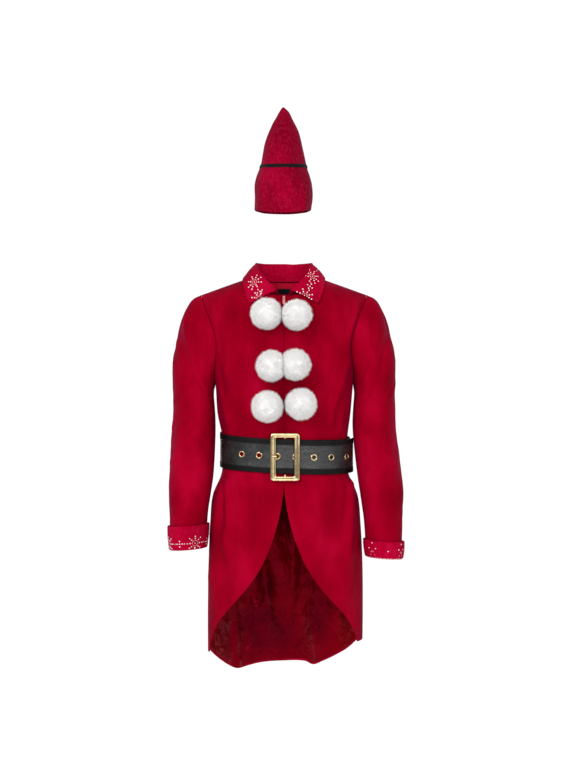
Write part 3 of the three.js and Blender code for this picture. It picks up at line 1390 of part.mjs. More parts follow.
function hatSheet(side) {
  const points = [];
  for (let row = 0; row < HAT.length; row += 1) {
    const line = [];
    for (let i = 0; i <= HAT_COLUMNS; i += 1) {
      const share = -1 + (2 * i) / HAT_COLUMNS;
      const at = hatPoint(side, Math.abs(share) > 0.999 ? Math.sign(share) : share, row);
      at.share = share;
      at.y += (side === "front" ? -1 : 1) * (SEAM_GAP / 2);
      line.push(at);
    }
    points.push(line);
  }
  const normals = points.map((line, j) =>
    line.map((at, i) => {
      const left = line[Math.max(0, i - 1)];
      const right = line[Math.min(line.length - 1, i + 1)];
      const above = points[Math.max(0, j - 1)][i];
      const below = points[Math.min(points.length - 1, j + 1)][i];
      const across = new THREE.Vector3().subVectors(right, left);
      const down = new THREE.Vector3().subVectors(below, above);
      const normal = across.cross(down).normalize();
      const section = HAT[j];
      const middle = (section.left - section.right) / 2;
      if (normal.x * (at.x - middle) + normal.y * at.y < 0) normal.negate();
      if (Math.abs(at.share) > 0.999) normal.y = 0;
      return normal.normalize();
    }),
  );
  points.forEach((line, j) => {
    line.forEach((at, i) => {
      let height = 0;
      for (const fold of HAT_FOLDS) {
        if (fold.side !== side) continue;
        const dx = fold.x2 - fold.x1;
        const dz = fold.z2 - fold.z1;
        const along = ((at.x - fold.x1) * dx + (at.z - fold.z1) * dz) / (dx * dx + dz * dz);
        const t = clamp(along, 0, 1);
        const off = Math.hypot(at.x - fold.x1 - t * dx, at.z - fold.z1 - t * dz) / fold.width;
        height += fold.height * Math.exp(-off * off);
      }
      const low = smooth((HAT_FOLD_TOP - at.z) / HAT_FOLD_FADE);
      const fade = smooth((1 - Math.abs(at.share)) / 0.2) * low;
      at.addScaledVector(normals[j][i], height * fade);
    });
  });
  return { points, normals };
}

// Near the tip the wall is thinner, so that it doesn't meet itself
function hatWall(side) {
  const sheet = hatSheet(side);
  const inner = sheet.points.map((line, j) => {
    const section = HAT[j];
    const room = Math.min((section.left + section.right) / 2, section.depth);
    const thickness = Math.min(VELVET, room * 0.45);
    return line.map((at, i) => at.clone().addScaledVector(sheet.normals[j][i], -thickness));
  });
  return facingOut(wallFromSheets(sheet.points, inner));
}
addMesh("hat_front", hatWall("front"), colours.velvet);
addMesh("hat_back", hatWall("back"), colours.velvet);

// The band lies on the hat between two of its rows
const BAND_TOP_ROW = HAT.findIndex((section) => section.z < HAT_BAND_Z + HAT_BAND_HEIGHT);
const BAND_THICK = 1.4;
function hatBand() {
  const sections = [];
  const sheets = { front: hatSheet("front"), back: hatSheet("back") };
  const around = [];
  for (let i = 0; i <= HAT_COLUMNS; i += 1) around.push(["front", i]);
  for (let i = HAT_COLUMNS - 1; i > 0; i -= 1) around.push(["back", i]);
  for (const [side, i] of around) {
    const sheet = sheets[side];
    const at = (row, out) =>
      sheet.points[row][i].clone().addScaledVector(sheet.normals[row][i], out);
    const top = BAND_TOP_ROW;
    const low = BAND_TOP_ROW + 1;
    const near = LAYER_GAP;
    const far = LAYER_GAP + BAND_THICK;
    sections.push([at(top, near), at(top, far), at(low, far), at(low, near)]);
  }
  return ringOfSections(sections);
}
addMesh("hat_band", hatBand(), colours.label);
export default costume;
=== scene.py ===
"""Elf costume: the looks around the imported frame. Lengths are in millimetres until a mesh is made."""

import math

import bmesh
import bpy
import numpy as np
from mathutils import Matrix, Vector


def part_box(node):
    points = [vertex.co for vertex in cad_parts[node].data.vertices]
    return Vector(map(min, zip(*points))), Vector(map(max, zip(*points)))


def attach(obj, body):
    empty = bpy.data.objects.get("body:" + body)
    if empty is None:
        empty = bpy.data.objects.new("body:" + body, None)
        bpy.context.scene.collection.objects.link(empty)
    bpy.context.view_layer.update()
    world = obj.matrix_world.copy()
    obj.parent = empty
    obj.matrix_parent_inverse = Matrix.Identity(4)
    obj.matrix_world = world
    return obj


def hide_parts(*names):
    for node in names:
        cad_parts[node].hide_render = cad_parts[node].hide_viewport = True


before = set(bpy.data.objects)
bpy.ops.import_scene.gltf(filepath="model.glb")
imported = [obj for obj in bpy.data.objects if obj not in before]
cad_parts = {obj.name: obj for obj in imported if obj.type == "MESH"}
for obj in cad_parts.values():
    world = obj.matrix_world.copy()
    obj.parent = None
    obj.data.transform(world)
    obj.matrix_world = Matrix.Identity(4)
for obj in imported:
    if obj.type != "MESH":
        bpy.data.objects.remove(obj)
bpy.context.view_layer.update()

MM = 0.001
GARMENT = "garment"

# Half of the gap drawn at a seam. The solids lie farther apart; sewn cloth shows no slit
SEAM_HALF = 0.03

# Driving dimensions of the coat, as in the frame
VELVET = 2.0
LINING_DEPTH = 2.9
YOKE_Z = -135
YOKE_TOP_Z = -36
YOKE_SQUARE = 2.7
NECK_HALF_WIDTH = 75
NECK_SIDE_Z = 10
NECK_FRONT_Z = -42
NECK_BACK_Z = 3
NECK_RISE = 20
SHOULDER_X = 206
SHOULDER_SLOPE = 0.36
ARMPIT_Z = -262
ARMHOLE_DEPTH = 60
ZIP_HALF_CHANNEL = 3.5
CHANNEL_LOW_Z = -66
CHANNEL_TAPER = 26
FRONT_EDGE_X = 0.2
CUTAWAY_TOP_Z = -480
HEM_Z = {"right": -922, "left": -892}
BELT_Z = -426
BELT_HEIGHT = 84

# Height, right side, left side, front depth, back depth, squareness
TORSO = np.array([
    (20, 206, 206, 100, 96, YOKE_SQUARE),
    (YOKE_TOP_Z, 206, 206, 100, 96, YOKE_SQUARE),
    (-90, 198, 196, 101, 98, YOKE_SQUARE),
    (-160, 185, 184, 104, 100, 2.6),
    (-262, 171, 172, 107, 99, 2.4),
    (-330, 166, 166, 101, 92, 2.3),
    (-385, 155, 159, 94, 84, 2.2),
    (-427, 153, 157, 92, 83, 2.2),
    (-480, 156, 161, 94, 87, 2.2),
    (-535, 178, 184, 102, 102, 2.2),
    (-600, 184, 191, 108, 113, 2.2),
    (-700, 188, 196, 112, 119, 2.2),
    (-800, 190, 197, 115, 123, 2.2),
    (-900, 190, 196, 118, 126, 2.2),
    (-1000, 189, 194, 118, 128, 2.2),
])
TORSO_COLUMN = {"right": 1, "left": 2, "front": 3, "back": 4, "square": 5}

# Height and how far each front's cut edge lies from the centre
CUTAWAY = np.array([
    (-480, FRONT_EDGE_X), (-512, 0.6), (-560, 7), (-600, 16), (-640, 28), (-670, 40), (-708, 58),
    (-748, 85), (-775, 108), (-817, 144), (-850, 166), (-885, 180), (-922, 186),
])

# The back's hem by its place across, which dips where its two pleats hang
BACK_HEM = np.array([
    (-190, -922), (-176, -946), (-158, -965), (-138, -981), (-120, -989), (-95, -984), (-55, -976),
    (0, -974), (55, -974), (76, -982), (98, -973), (131, -955), (165, -929), (196, -892),
])

# Folds and creases of the coat: from x, z to x, z, half width, height
LARGE_FOLDS = {
    "front": [
        (-138, -150, -128, -390, 16, 5),
        (-160, -110, -150, -290, 12, -4),
        (165, -110, 140, -270, 13, 5),
        (150, -200, 100, -370, 15, 5),
        (128, -260, 88, -380, 9, -4),
        (-137, -480, -140, -680, 15, 6),
        (-95, -480, -80, -640, 15, -4),
        (150, -480, 162, -700, 16, 6),
        (98, -480, 112, -640, 15, -4),
    ],
    "back": [
        (-150, -120, -115, -360, 16, 5),
        (150, -120, 115, -360, 16, 5),
        (-40, -260, -60, -400, 15, -4),
        (45, -270, 60, -400, 15, -4),
        (-110, -480, -125, -960, 20, 8),
        (-45, -500, -55, -960, 20, -7),
        (20, -490, 25, -960, 20, 7),
        (85, -500, 92, -960, 18, -7),
        (140, -490, 148, -930, 16, 6),
    ],
}


# Number helpers


def smooth(value):
    t = np.clip(value, 0, 1)
    return t * t * (3 - 2 * t)


def hermite(keys, values, at):
    """A smooth curve through the values, whose keys rise or fall."""
    keys = np.asarray(keys, float)
    values = np.asarray(values, float)
    if keys[0] > keys[-1]:
        keys, values = keys[::-1], values[::-1]
    slopes = np.empty(len(keys))
    slopes[1:-1] = (values[2:] - values[:-2]) / (keys[2:] - keys[:-2])
    slopes[0] = (values[1] - values[0]) / (keys[1] - keys[0])
    slopes[-1] = (values[-1] - values[-2]) / (keys[-1] - keys[-2])
    at = np.asarray(at, float)
    i = np.clip(np.searchsorted(keys, at, side="right") - 1, 0, len(keys) - 2)
    span = keys[i + 1] - keys[i]
    t = np.clip((at - keys[i]) / span, 0, 1)
    t2, t3 = t * t, t * t * t
    return ((2 * t3 - 3 * t2 + 1) * values[i] + (t3 - 2 * t2 + t) * span * slopes[i]
            + (3 * t2 - 2 * t3) * values[i + 1] + (t3 - t2) * span * slopes[i + 1])


def torso(z, column):
    return hermite(TORSO[:, 0], TORSO[:, TORSO_COLUMN[column]], z)


def soft_noise(points, scale, seed):
    """Smooth uneven values between about -1 and 1 at points, from a few slanted waves."""
    rng = np.random.default_rng(seed)
    total = np.zeros(points.shape[:-1])
    for octave in range(3):
        for _ in range(6):
            way = rng.normal(size=3)
            way *= (2 * math.pi / scale) * (1.7 ** octave) / np.linalg.norm(way)
            total += np.sin(points @ way + rng.uniform(0, 2 * math.pi)) * 0.32 * 0.6 ** octave
    return total


def crease_height(folds, u, v, fade=0.2):
    """Height of a set of creases at the places u, v. Each one bends, narrows and dies out softly."""
    total = np.zeros(np.shape(u))
    for k, (u1, v1, u2, v2, width, height) in enumerate(folds):
        du, dv = u2 - u1, v2 - v1
        length = math.hypot(du, dv)
        along = ((u - u1) * du + (v - v1) * dv) / length**2
        across = ((u - u1) * dv - (v - v1) * du) / length
        bend = 0.05 * length * np.sin(2.6 * along + k)
        wide = width * (0.85 + 0.35 * along + 0.12 * np.sin(7 * along + 2 * k))
        wide = np.maximum(wide, 0.45 * width)
        ends = smooth((along + fade) / (2 * fade)) * smooth((1 + fade - along) / (2 * fade))
        side = (across - bend) / wide
        total += height * ends * (np.exp(-side * side) - 0.35 * np.exp(-((side - 1.9) ** 2)))
    return total


# Meshes from grids of points


def new_mesh(name, points, faces, smooth_shade=True):
    mesh = bpy.data.meshes.new(name)
    mesh.from_pydata((np.asarray(points).reshape(-1, 3) * MM).tolist(), [], faces)
    mesh.validate()
    mesh.update()
    if smooth_shade:
        mesh.polygons.foreach_set("use_smooth", [True] * len(mesh.polygons))
    piece = bpy.data.objects.new(name, mesh)
    bpy.context.scene.collection.objects.link(piece)
    return piece


def grid_faces(rows, columns, around=False, start=0, turned=False):
    spans = columns if around else columns - 1
    j, i = np.meshgrid(np.arange(rows - 1), np.arange(spans), indexing="ij")
    a = start + j * columns + i
    b = start + j * columns + (i + 1) % columns
    corners = (a, b, b + columns, a + columns) if turned else (a, a + columns, b + columns, b)
    return np.stack(corners, -1).reshape(-1, 4).tolist()


def ring_faces(rows, columns):
    """Faces of a grid that closes on itself both ways."""
    faces = []
    for j in range(rows):
        for i in range(columns):
            n, m = (i + 1) % columns, (j + 1) % rows
            faces.append([j * columns + i, m * columns + i, m * columns + n, j * columns + n])
    return faces


def prism_faces(count):
    """Faces of a prism: its first outline's points, then its second's."""
    faces = [[k, (k + 1) % count, count + (k + 1) % count, count + k] for k in range(count)]
    return faces + [list(range(count))[::-1], list(range(count, 2 * count))]


def normals_of(points, around=False):
    """Unit normals of a grid of points, all on the side that rows x columns turn to."""
    down = np.gradient(points, axis=0)
    if around:
        across = (np.roll(points, -1, 1) - np.roll(points, 1, 1)) / 2
    else:
        across = np.gradient(points, axis=1)
    normal = np.cross(across, down)
    return normal / np.maximum(np.linalg.norm(normal, axis=-1, keepdims=True), 1e-9)


def shell(name, outer, inner, around=False):
    """A thin closed wall between two grids of points."""
    rows, columns = outer.shape[:2]
    half = rows * columns
    faces = grid_faces(rows, columns, around)
    faces += grid_faces(rows, columns, around, half, turned=True)
    spans = columns if around else columns - 1
    for i in range(spans):
        n = (i + 1) % columns
        last = (rows - 1) * columns
        faces.append([i, n, half + n, half + i])
        faces.append([last + i, half + last + i, half + last + n, last + n])
    if not around:
        for j in range(rows - 1):
            a, b = j * columns, (j + 1) * columns
            c, d = a + columns - 1, b + columns - 1
            faces.append([a, half + a, half + b, b])
            faces.append([c, d, half + d, half + c])
    return new_mesh(name, np.concatenate([outer.reshape(-1, 3), inner.reshape(-1, 3)]), faces)


def facing(normals, points, centre):
    """Turns normals so that they point away from the centre."""
    wrong = np.sum(normals * (points - centre), axis=-1) < 0
    return np.where(wrong[..., None], -normals, normals)


# The coat's panels, on the same rows and rings as the frame's own

ARMHOLE_ROWS = 8
ROW_HEIGHTS = np.array([
    ARMPIT_Z, -285, -318, -352, -385, -427, -480, -508, -545, -590, -640, -690, -740, -785, -830,
    -865, -900,
])
LAST_ROW = ARMHOLE_ROWS + len(ROW_HEIGHTS) - 1
SIGN = {"right": -1, "left": 1}
BELT_FADE = 40


def ridge_height(x):
    away = np.abs(x) - NECK_HALF_WIDTH
    inside = np.clip(-away / NECK_HALF_WIDTH, 0, 1)
    bend = 12
    soft = 0.5 * (away + np.sqrt(away * away + bend * bend)) - bend / 2
    return NECK_SIDE_Z + NECK_RISE * smooth(inside) - SHOULDER_SLOPE * np.maximum(0, soft)


def yoke_share(x, z):
    rise = np.clip((z - YOKE_Z) / (ridge_height(x) - YOKE_Z), 0, 1)
    return np.sqrt(np.maximum(0, 1 - rise * rise))


def side_width(sign, z):
    return np.where(sign < 0, torso(z, "right"), torso(z, "left"))


def armhole_angle(side, z):
    top = ridge_height(SHOULDER_X)
    t = np.clip((z - ARMPIT_Z) / (top - ARMPIT_Z), 0, 1)
    reach = ARMHOLE_DEPTH * np.sin(np.pi * t) ** 0.75
    depth = torso(z, side) * yoke_share(SHOULDER_X * 0.9, z)
    share = np.clip(reach / np.maximum(depth, reach + 4), 0, 0.97)
    angle = np.arccos(share ** (torso(z, "square") / 2))
    return np.where((z >= top) | (z <= ARMPIT_Z), np.pi / 2, angle)


def ring_points(side, sign, angle, z):
    square = torso(z, "square")
    x = sign * side_width(sign, z) * np.sin(angle) ** (2 / square)
    bow = np.maximum(0, np.cos(angle)) ** (2 / square)
    forward = -1 if side == "front" else 1
    y = forward * torso(z, side) * bow * yoke_share(x, z)
    return np.stack([x, y, z], -1)


def top_edge(side, x):
    low = NECK_FRONT_Z if side == "front" else NECK_BACK_Z
    share = np.abs(x) / NECK_HALF_WIDTH
    scoop = low + (NECK_SIDE_Z - low) * (1 - np.sqrt(np.maximum(0, 1 - share**2.4)))
    return np.where(share >= 1, ridge_height(x), scoop)


def armhole_share(row):
    even = row / ARMHOLE_ROWS
    return 0.45 * even + 0.55 * 0.5 * (1 - np.cos(np.pi * even))


def seam_height(sign, row):
    z = np.interp(row, ARMHOLE_ROWS + np.arange(len(ROW_HEIGHTS)), ROW_HEIGHTS)
    hem = np.where(sign < 0, HEM_Z["right"], HEM_Z["left"])
    return z + (hem - ROW_HEIGHTS[-1]) * smooth((-545 - z) / (-545 - ROW_HEIGHTS[-1]))


def panel_points(side, sign, away, row):
    """Points of a panel: away is 0 at its middle line and 1 at the side seam or armhole."""
    x = SHOULDER_X * away
    for _ in range(14):
        z = top_edge(side, x)
        x = np.abs(ring_points(side, sign, armhole_angle(side, z) * away, z)[..., 0])
    top = top_edge(side, x)
    upper_z = top + (ARMPIT_Z - top) * armhole_share(np.minimum(row, ARMHOLE_ROWS))
    upper = ring_points(side, sign, armhole_angle(side, upper_z) * away, upper_z)
    z = seam_height(sign, row)
    if side == "back":
        hem = np.where(sign < 0, HEM_Z["right"], HEM_Z["left"])
        hem_x = ring_points(side, sign, np.pi / 2 * away, hem + 0 * away)[..., 0]
        lower_by = hermite(BACK_HEM[:, 0], BACK_HEM[:, 1], hem_x) - hem
        z = z + lower_by * smooth((-505 - z) / (-505 - hem))
    lower = ring_points(side, sign, np.pi / 2 * away, z)
    return np.where((row <= ARMHOLE_ROWS)[..., None], upper, lower)


def inner_share(sign, row):
    """Share of the half ring at which a front's inner edge lies."""
    yoke = row <= ARMHOLE_ROWS
    reach = (ARMPIT_Z - NECK_FRONT_Z) * armhole_share(np.minimum(row, ARMHOLE_ROWS))
    z = np.where(yoke, NECK_FRONT_Z + reach, seam_height(sign, row))
    cut = hermite(CUTAWAY[:, 0], CUTAWAY[:, 1], z)
    open_by = smooth((z - CHANNEL_LOW_Z + CHANNEL_TAPER) / CHANNEL_TAPER)
    zipped = FRONT_EDGE_X + (ZIP_HALF_CHANNEL - FRONT_EDGE_X) * open_by
    x = np.where(z > CUTAWAY_TOP_Z, zipped, cut)
    angle = np.arcsin(np.clip(x / side_width(sign, z), 0, 1) ** (torso(z, "square") / 2))
    return angle / np.where(yoke, armhole_angle("front", z), np.pi / 2)


def edge_steps(count, edge=0.002):
    """Even shares from 0 to 1 with one more step close to each end, for a rounded rim."""
    return np.concatenate([[0, edge], np.linspace(0, 1, count)[1:-1], [1 - edge, 1]])


def outward(points, normals):
    centre = np.stack([0 * points[..., 0], 0 * points[..., 1], np.minimum(points[..., 2], YOKE_Z)], -1)
    return facing(normals, points, centre)


def panel_sheet(side, hand, rows, columns, first_row=0.0, last_row=LAST_ROW, reach=1.0, inset=0.0):
    """Grid of a panel's outer face without folds, its normals and the share towards the side."""
    row = first_row + (last_row - first_row) * edge_steps(rows, 0.001)[:, None]
    step = edge_steps(columns)[None, :]
    if side == "back":
        share = (2 * step - 1) * reach + 0 * row
        sign = np.where(share < 0, -1.0, 1.0)
    else:
        sign = SIGN[hand] + 0 * (row + step)
        start = inner_share(sign, row + 0 * step) + inset
        share = start + (reach - start) * step
    away = np.abs(share)
    row = row + 0 * step
    points = panel_points(side, sign, away, row)
    points[..., 1] += (-1 if side == "front" else 1) * SEAM_HALF
    normals = outward(points, normals_of(points))
    flat = ((away > 0.999) & (row >= ARMHOLE_ROWS)) | (
        (row < 0.05) & (np.abs(points[..., 0]) >= NECK_HALF_WIDTH))
    normals[..., 1] = np.where(flat, 0, normals[..., 1])
    normals /= np.linalg.norm(normals, axis=-1, keepdims=True)
    return points, normals, away


def folded(side, points, normals, away, small, seed, soft=0.5):
    """Moves a panel's grid along its normals by the large folds, the small creases and soft noise."""
    x, z = points[..., 0], points[..., 2]
    height = large_fold_height(side, x, z) + crease_height(small, x, z)
    height = height + soft * soft_noise(points, 90, seed)
    off_belt = np.abs(z - BELT_Z) - BELT_HEIGHT / 2 - BELT_TILT
    clear = smooth((1 - away) / 0.14) * smooth(off_belt / BELT_FADE)
    top = smooth((top_edge(side, x) - z) / 20)
    return points + normals * (height * clear * top)[..., None]


def large_fold_height(side, x, z):
    total = np.zeros(np.shape(x))
    for x1, z1, x2, z2, width, height in LARGE_FOLDS[side]:
        dx, dz = x2 - x1, z2 - z1
        t = np.clip(((x - x1) * dx + (z - z1) * dz) / (dx * dx + dz * dz), -0.15, 1.15)
        ends = smooth((t + 0.15) / 0.3) * smooth((1.15 - t) / 0.3)
        across = (x - x1 - t * dx) / width
        total += height * ends * np.exp(-across * across)
    return total


SMALL_CREASES = {
    "front": [
        # below the wearer's right shoulder and down the side
        (-186, -70, -172, -190, 6, -3), (-172, -90, -150, -230, 7, 3), (-150, -95, -118, -190, 9, -2),
        (-160, -262, -138, -372, 7, 4), (-118, -250, -110, -380, 9, -3), (-92, -330, -96, -384, 6, 2.5),
        (-60, -345, -64, -384, 6, -2), (-148, -330, -120, -300, 7, -2.5),
        (-70, -130, -50, -180, 10, 2), (-108, -60, -88, -160, 12, 2),
        # below the wearer's left shoulder, and slanting in to the waist
        (190, -70, 176, -200, 6, -3), (172, -80, 150, -190, 8, 3.5), (156, -190, 128, -290, 8, 4),
        (148, -232, 96, -330, 7, -3), (134, -290, 92, -376, 8, 4.5), (158, -320, 146, -384, 6, -4),
        (118, -330, 112, -384, 6, 3), (76, -340, 82, -384, 6, -2), (110, -60, 84, -170, 12, 2),
        (70, -128, 60, -180, 10, -2),
        # from under the belt into the skirt
        (-134, -472, -136, -600, 7, 5), (-118, -474, -112, -570, 8, -4), (-150, -480, -160, -620, 8, -4),
        (-70, -474, -66, -560, 10, 3), (-40, -474, -42, -560, 10, -2.5), (-168, -560, -172, -760, 10, 3),
        (-100, -600, -98, -740, 14, 3), (-145, -660, -140, -820, 14, -3), (-66, -590, -72, -680, 10, 2.5),
        (140, -472, 150, -600, 8, -4), (158, -474, 170, -640, 7, 5), (112, -474, 118, -580, 10, 3.5),
        (70, -474, 74, -560, 10, -3), (38, -474, 42, -560, 10, 2.5), (176, -640, 172, -800, 10, -3),
        (104, -600, 100, -740, 13, -3), (140, -680, 146, -840, 14, 3.5), (66, -590, 74, -680, 10, 2),
    ],
    "back": [
        (-180, -80, -160, -220, 7, -3), (180, -80, 160, -220, 7, -3), (-90, -60, -70, -200, 14, 2),
        (80, -60, 66, -200, 14, -2), (-20, -100, -24, -260, 16, -1.8), (-140, -290, -110, -380, 8, 4),
        (140, -290, 108, -380, 8, 4), (-88, -320, -84, -384, 7, -3), (88, -330, 80, -384, 7, -3),
        (0, -310, 4, -384, 9, 2.5), (-30, -330, -26, -384, 6, -2), (34, -340, 30, -384, 6, 2),
        (-140, -474, -150, -700, 9, -5), (-80, -474, -88, -680, 9, 5), (-20, -474, -24, -760, 10, -4),
        (52, -474, 60, -720, 10, 5), (112, -474, 118, -690, 9, 5), (165, -474, 172, -740, 8, -4),
        (-165, -640, -168, -900, 10, 4), (-80, -720, -86, -960, 14, 4), (-10, -760, -6, -970, 14, 4),
        (60, -760, 62, -960, 13, -4), (120, -740, 128, -940, 13, 4), (-128, -800, -132, -960, 9, -3),
    ],
}


def make_coat(material):
    """Velvet panels, each a thin wall on its own grid."""
    pieces = {}
    for hand in ("right", "left"):
        points, normals, away = panel_sheet("front", hand, 190, 50)
        points = folded("front", points, normals, away, SMALL_CREASES["front"], 11)
        pieces[f"front_{hand}"] = (points, normals)
    points, normals, away = panel_sheet("back", "right", 190, 96)
    points = folded("back", points, normals, away, SMALL_CREASES["back"], 12)
    pieces["back"] = (points, normals)
    for node, (points, normals) in pieces.items():
        rim = np.full(points.shape[:2], 0.0)
        rim[[0, -1], :] = 0.7
        rim[:, [0, -1]] = 0.7
        outer = points - normals * rim[..., None]
        inner = points - normals * (VELVET - 0.8 * rim)[..., None]
        piece = shell(f"{node}_velvet", outer, inner)
        dress(piece, material, node)


LINING_WRINKLES = {
    "back": [
        (-120, -560, -112, -940, 10, -5), (-86, -640, -92, -960, 8, 4), (-60, -560, -52, -900, 9, -5),
        (-20, -700, -14, -968, 8, 4), (22, -560, 30, -940, 10, -5), (64, -640, 60, -960, 8, 4),
        (76, -600, 84, -940, 6, -6), (112, -560, 108, -930, 9, 4), (-104, -800, -70, -940, 7, -3),
        (36, -840, 70, -950, 7, 3), (-40, -860, -4, -965, 7, -3), (-30, -70, -20, -180, 12, -2),
        (30, -70, 24, -180, 12, 2), (-119, -880, -119, -985, 5, -6), (90, -790, 78, -980, 6, -7),
    ],
    "front": [
        (-110, -520, -100, -640, 9, -3), (-150, -560, -150, -800, 9, -4), (110, -520, 100, -640, 9, -3),
        (150, -560, 150, -800, 9, -4),
    ],
}


# Height above which the back lining takes a far paler copy of its satin: painted light inside the neck
LIT_NECK_FROM_Z = -62


def make_linings(material, lit_neck_material):
    """Satin linings a little inside the velvet, with finer, sharper wrinkles."""
    grids = {
        "lining_back": ("back", "right", 170, 80, 0.06, LAST_ROW - 0.17, 0.985),
        "lining_front_right": ("front", "right", 90, 34, 14.2, LAST_ROW - 0.17, 0.985),
        "lining_front_left": ("front", "left", 90, 34, 14.2, LAST_ROW - 0.17, 0.985),
    }
    for node, (side, hand, rows, columns, first, last, reach) in grids.items():
        inset = 0.02 if side == "front" else 0.0
        points, normals, away = panel_sheet(side, hand, rows, columns, first, last, reach, inset)
        points = folded(side, points, normals, away, SMALL_CREASES[side], 12 if side == "back" else 11)
        x, z = points[..., 0], points[..., 2]
        wrinkle = crease_height(LINING_WRINKLES[side], x, z) + 0.8 * soft_noise(points, 45, 31)
        wrinkle = np.minimum(0, wrinkle - 0.6) * smooth((0.985 - away) / 0.12)
        wrinkle *= smooth((np.abs(z - BELT_Z) - 40) / 60)
        ease = 2.5 * smooth((top_edge(side, x) - z + 2) / 2) * (1 - smooth((top_edge(side, x) - z) / 30))
        depth = LINING_DEPTH + (ease if side == "back" else 0) - wrinkle
        outer = points - normals * depth[..., None]
        piece = shell(f"{node}_satin", outer, outer - normals * 0.8)
        piece.data.materials.append(material)
        piece.data.materials.append(lit_neck_material)
        for face in piece.data.polygons:
            # Back lining faces above that height get the paler satin: painted light at the neck
            face.material_index = int(side == "back" and face.center.z > LIT_NECK_FROM_Z * MM)
        dress(piece, material, node)


# Sleeves, from the armhole's own line down through their sections

SLEEVE = {
    "outX": [206, 228, 245, 259, 268, 273, 276, 277, 278, 281, 284, 286, 286, 284, 282, 281],
    "outZ": [-36, -47, -70, -104, -148, -196, -246, -296, -345, -395, -442, -488, -532, -572, -618, -663],
    "inX": [172, 173.5, 174.5, 175, 175, 174, 172.5, 171, 170.5, 171.5, 173, 176, 182, 187.5, 190.5, 192],
    "inZ": [-262, -267, -272, -278, -287, -300, -318, -342, -374, -412, -450, -490, -532, -570, -612, -656],
    "depth": [60, 63, 65, 66, 66, 65, 63, 61, 59, 58, 57, 56, 54, 52, 50, 47],
    "fwd": [0, 0, 0, 0, 1, 2, 3, 5, 7, 10, 14, 19, 25, 31, 36, 40],
}
SLEEVE_SECTIONS = len(SLEEVE["outX"])
LOOP_STEPS = 2 * ARMHOLE_ROWS
SLEEVE_SHIFT = {"right": 0, "left": 10}
SLEEVE_DROP = {"right": 0, "left": 22}

# Along the sleeve, round it, slant, half width, height
LARGE_WRINKLES = [
    (0.22, 0.05, 0.35, 0.06, -5), (0.36, 0.12, 0.3, 0.06, 5), (0.5, 0.2, -0.25, 0.05, -5),
    (0.6, 0.28, -0.2, 0.05, 5), (0.72, 0.15, 0.2, 0.05, -4), (0.42, 0.72, 0.25, 0.06, -4),
    (0.62, 0.75, -0.25, 0.06, 4),
]
SMALL_WRINKLES = {
    "right": [
        (0.14, 0.2, 0.6, 0.022, -2.5), (0.19, 0.14, 0.5, 0.02, 3), (0.3, 0.26, 0.45, 0.022, -3),
        (0.33, 0.08, 0.3, 0.018, -2.5), (0.45, 0.26, 0.3, 0.02, 3), (0.48, 0.1, -0.3, 0.02, -2.5),
        (0.55, 0.16, -0.35, 0.02, 3), (0.57, 0.3, 0.2, 0.018, -3), (0.66, 0.2, 0.3, 0.02, -2.5),
        (0.68, 0.06, -0.2, 0.02, 2.5), (0.78, 0.24, 0.25, 0.02, 2.5), (0.84, 0.12, -0.2, 0.02, -2),
        (0.9, 0.26, 0.2, 0.018, 2), (0.3, 0.8, 0.4, 0.022, -3), (0.5, 0.8, -0.3, 0.02, 3),
        (0.56, 0.68, 0.3, 0.02, -3), (0.7, 0.82, 0.25, 0.02, -2.5), (0.8, 0.72, -0.2, 0.02, 2.5),
    ],
    "left": [
        (0.12, 0.18, 0.7, 0.022, -2.5), (0.18, 0.22, 0.6, 0.02, 3), (0.27, 0.12, 0.4, 0.022, -3),
        (0.34, 0.24, 0.35, 0.018, -2.5), (0.43, 0.12, 0.3, 0.02, 3), (0.47, 0.24, -0.3, 0.02, -3),
        (0.53, 0.14, -0.3, 0.018, 3), (0.58, 0.24, -0.35, 0.018, -3.5), (0.62, 0.1, 0.2, 0.018, -2.5),
        (0.67, 0.26, 0.25, 0.02, 3), (0.76, 0.16, -0.2, 0.02, -2), (0.82, 0.28, 0.2, 0.02, 2),
        (0.9, 0.16, 0.2, 0.018, -2), (0.28, 0.76, 0.4, 0.022, -3), (0.48, 0.82, -0.3, 0.02, 3),
        (0.58, 0.7, 0.3, 0.02, -3), (0.72, 0.8, 0.25, 0.02, -2.5), (0.84, 0.74, -0.2, 0.02, 2.5),
    ],
}


def sleeve_section(key, at):
    return hermite(np.arange(SLEEVE_SECTIONS), SLEEVE[key], at)


def armhole_loop(sign, turn):
    """The armhole's line: turn 0 at the shoulder, forward down to the armpit and up behind."""
    step = turn * LOOP_STEPS / (2 * np.pi)
    front = panel_points("front", sign + 0 * step, 1 + 0 * step, np.minimum(step, ARMHOLE_ROWS))
    behind = np.clip(LOOP_STEPS - step, 0, ARMHOLE_ROWS)
    back = panel_points("back", sign + 0 * step, 1 + 0 * step, behind)
    return np.where((step <= ARMHOLE_ROWS)[..., None], front, back)


def sleeve_ellipse(sign, at, turn):
    share = (1 - np.cos(turn)) / 2
    out_x, in_x = sleeve_section("outX", at), sleeve_section("inX", at)
    out_z, in_z = sleeve_section("outZ", at), sleeve_section("inZ", at)
    x = sign * (out_x + (in_x - out_x) * share)
    z = out_z + (in_z - out_z) * share
    y = -sleeve_section("fwd", at) - sleeve_section("depth", at) * np.sin(turn)
    return np.stack([x, y, z], -1)


def wrinkle_height(wrinkles, along, turn):
    total = np.zeros(np.broadcast(along, turn).shape)
    for k, (place, middle, slant, width, height) in enumerate(wrinkles):
        off = turn - middle
        bend = 0.012 * np.sin(14 * off + 2 * k)
        side = (along - place - slant * off - bend) / width
        reach = 0.2 if width > 0.03 else 0.14 + 0.03 * math.sin(3 * k)
        total += height * np.exp(-side * side) * smooth((reach - np.abs(off)) / 0.1)
    return total


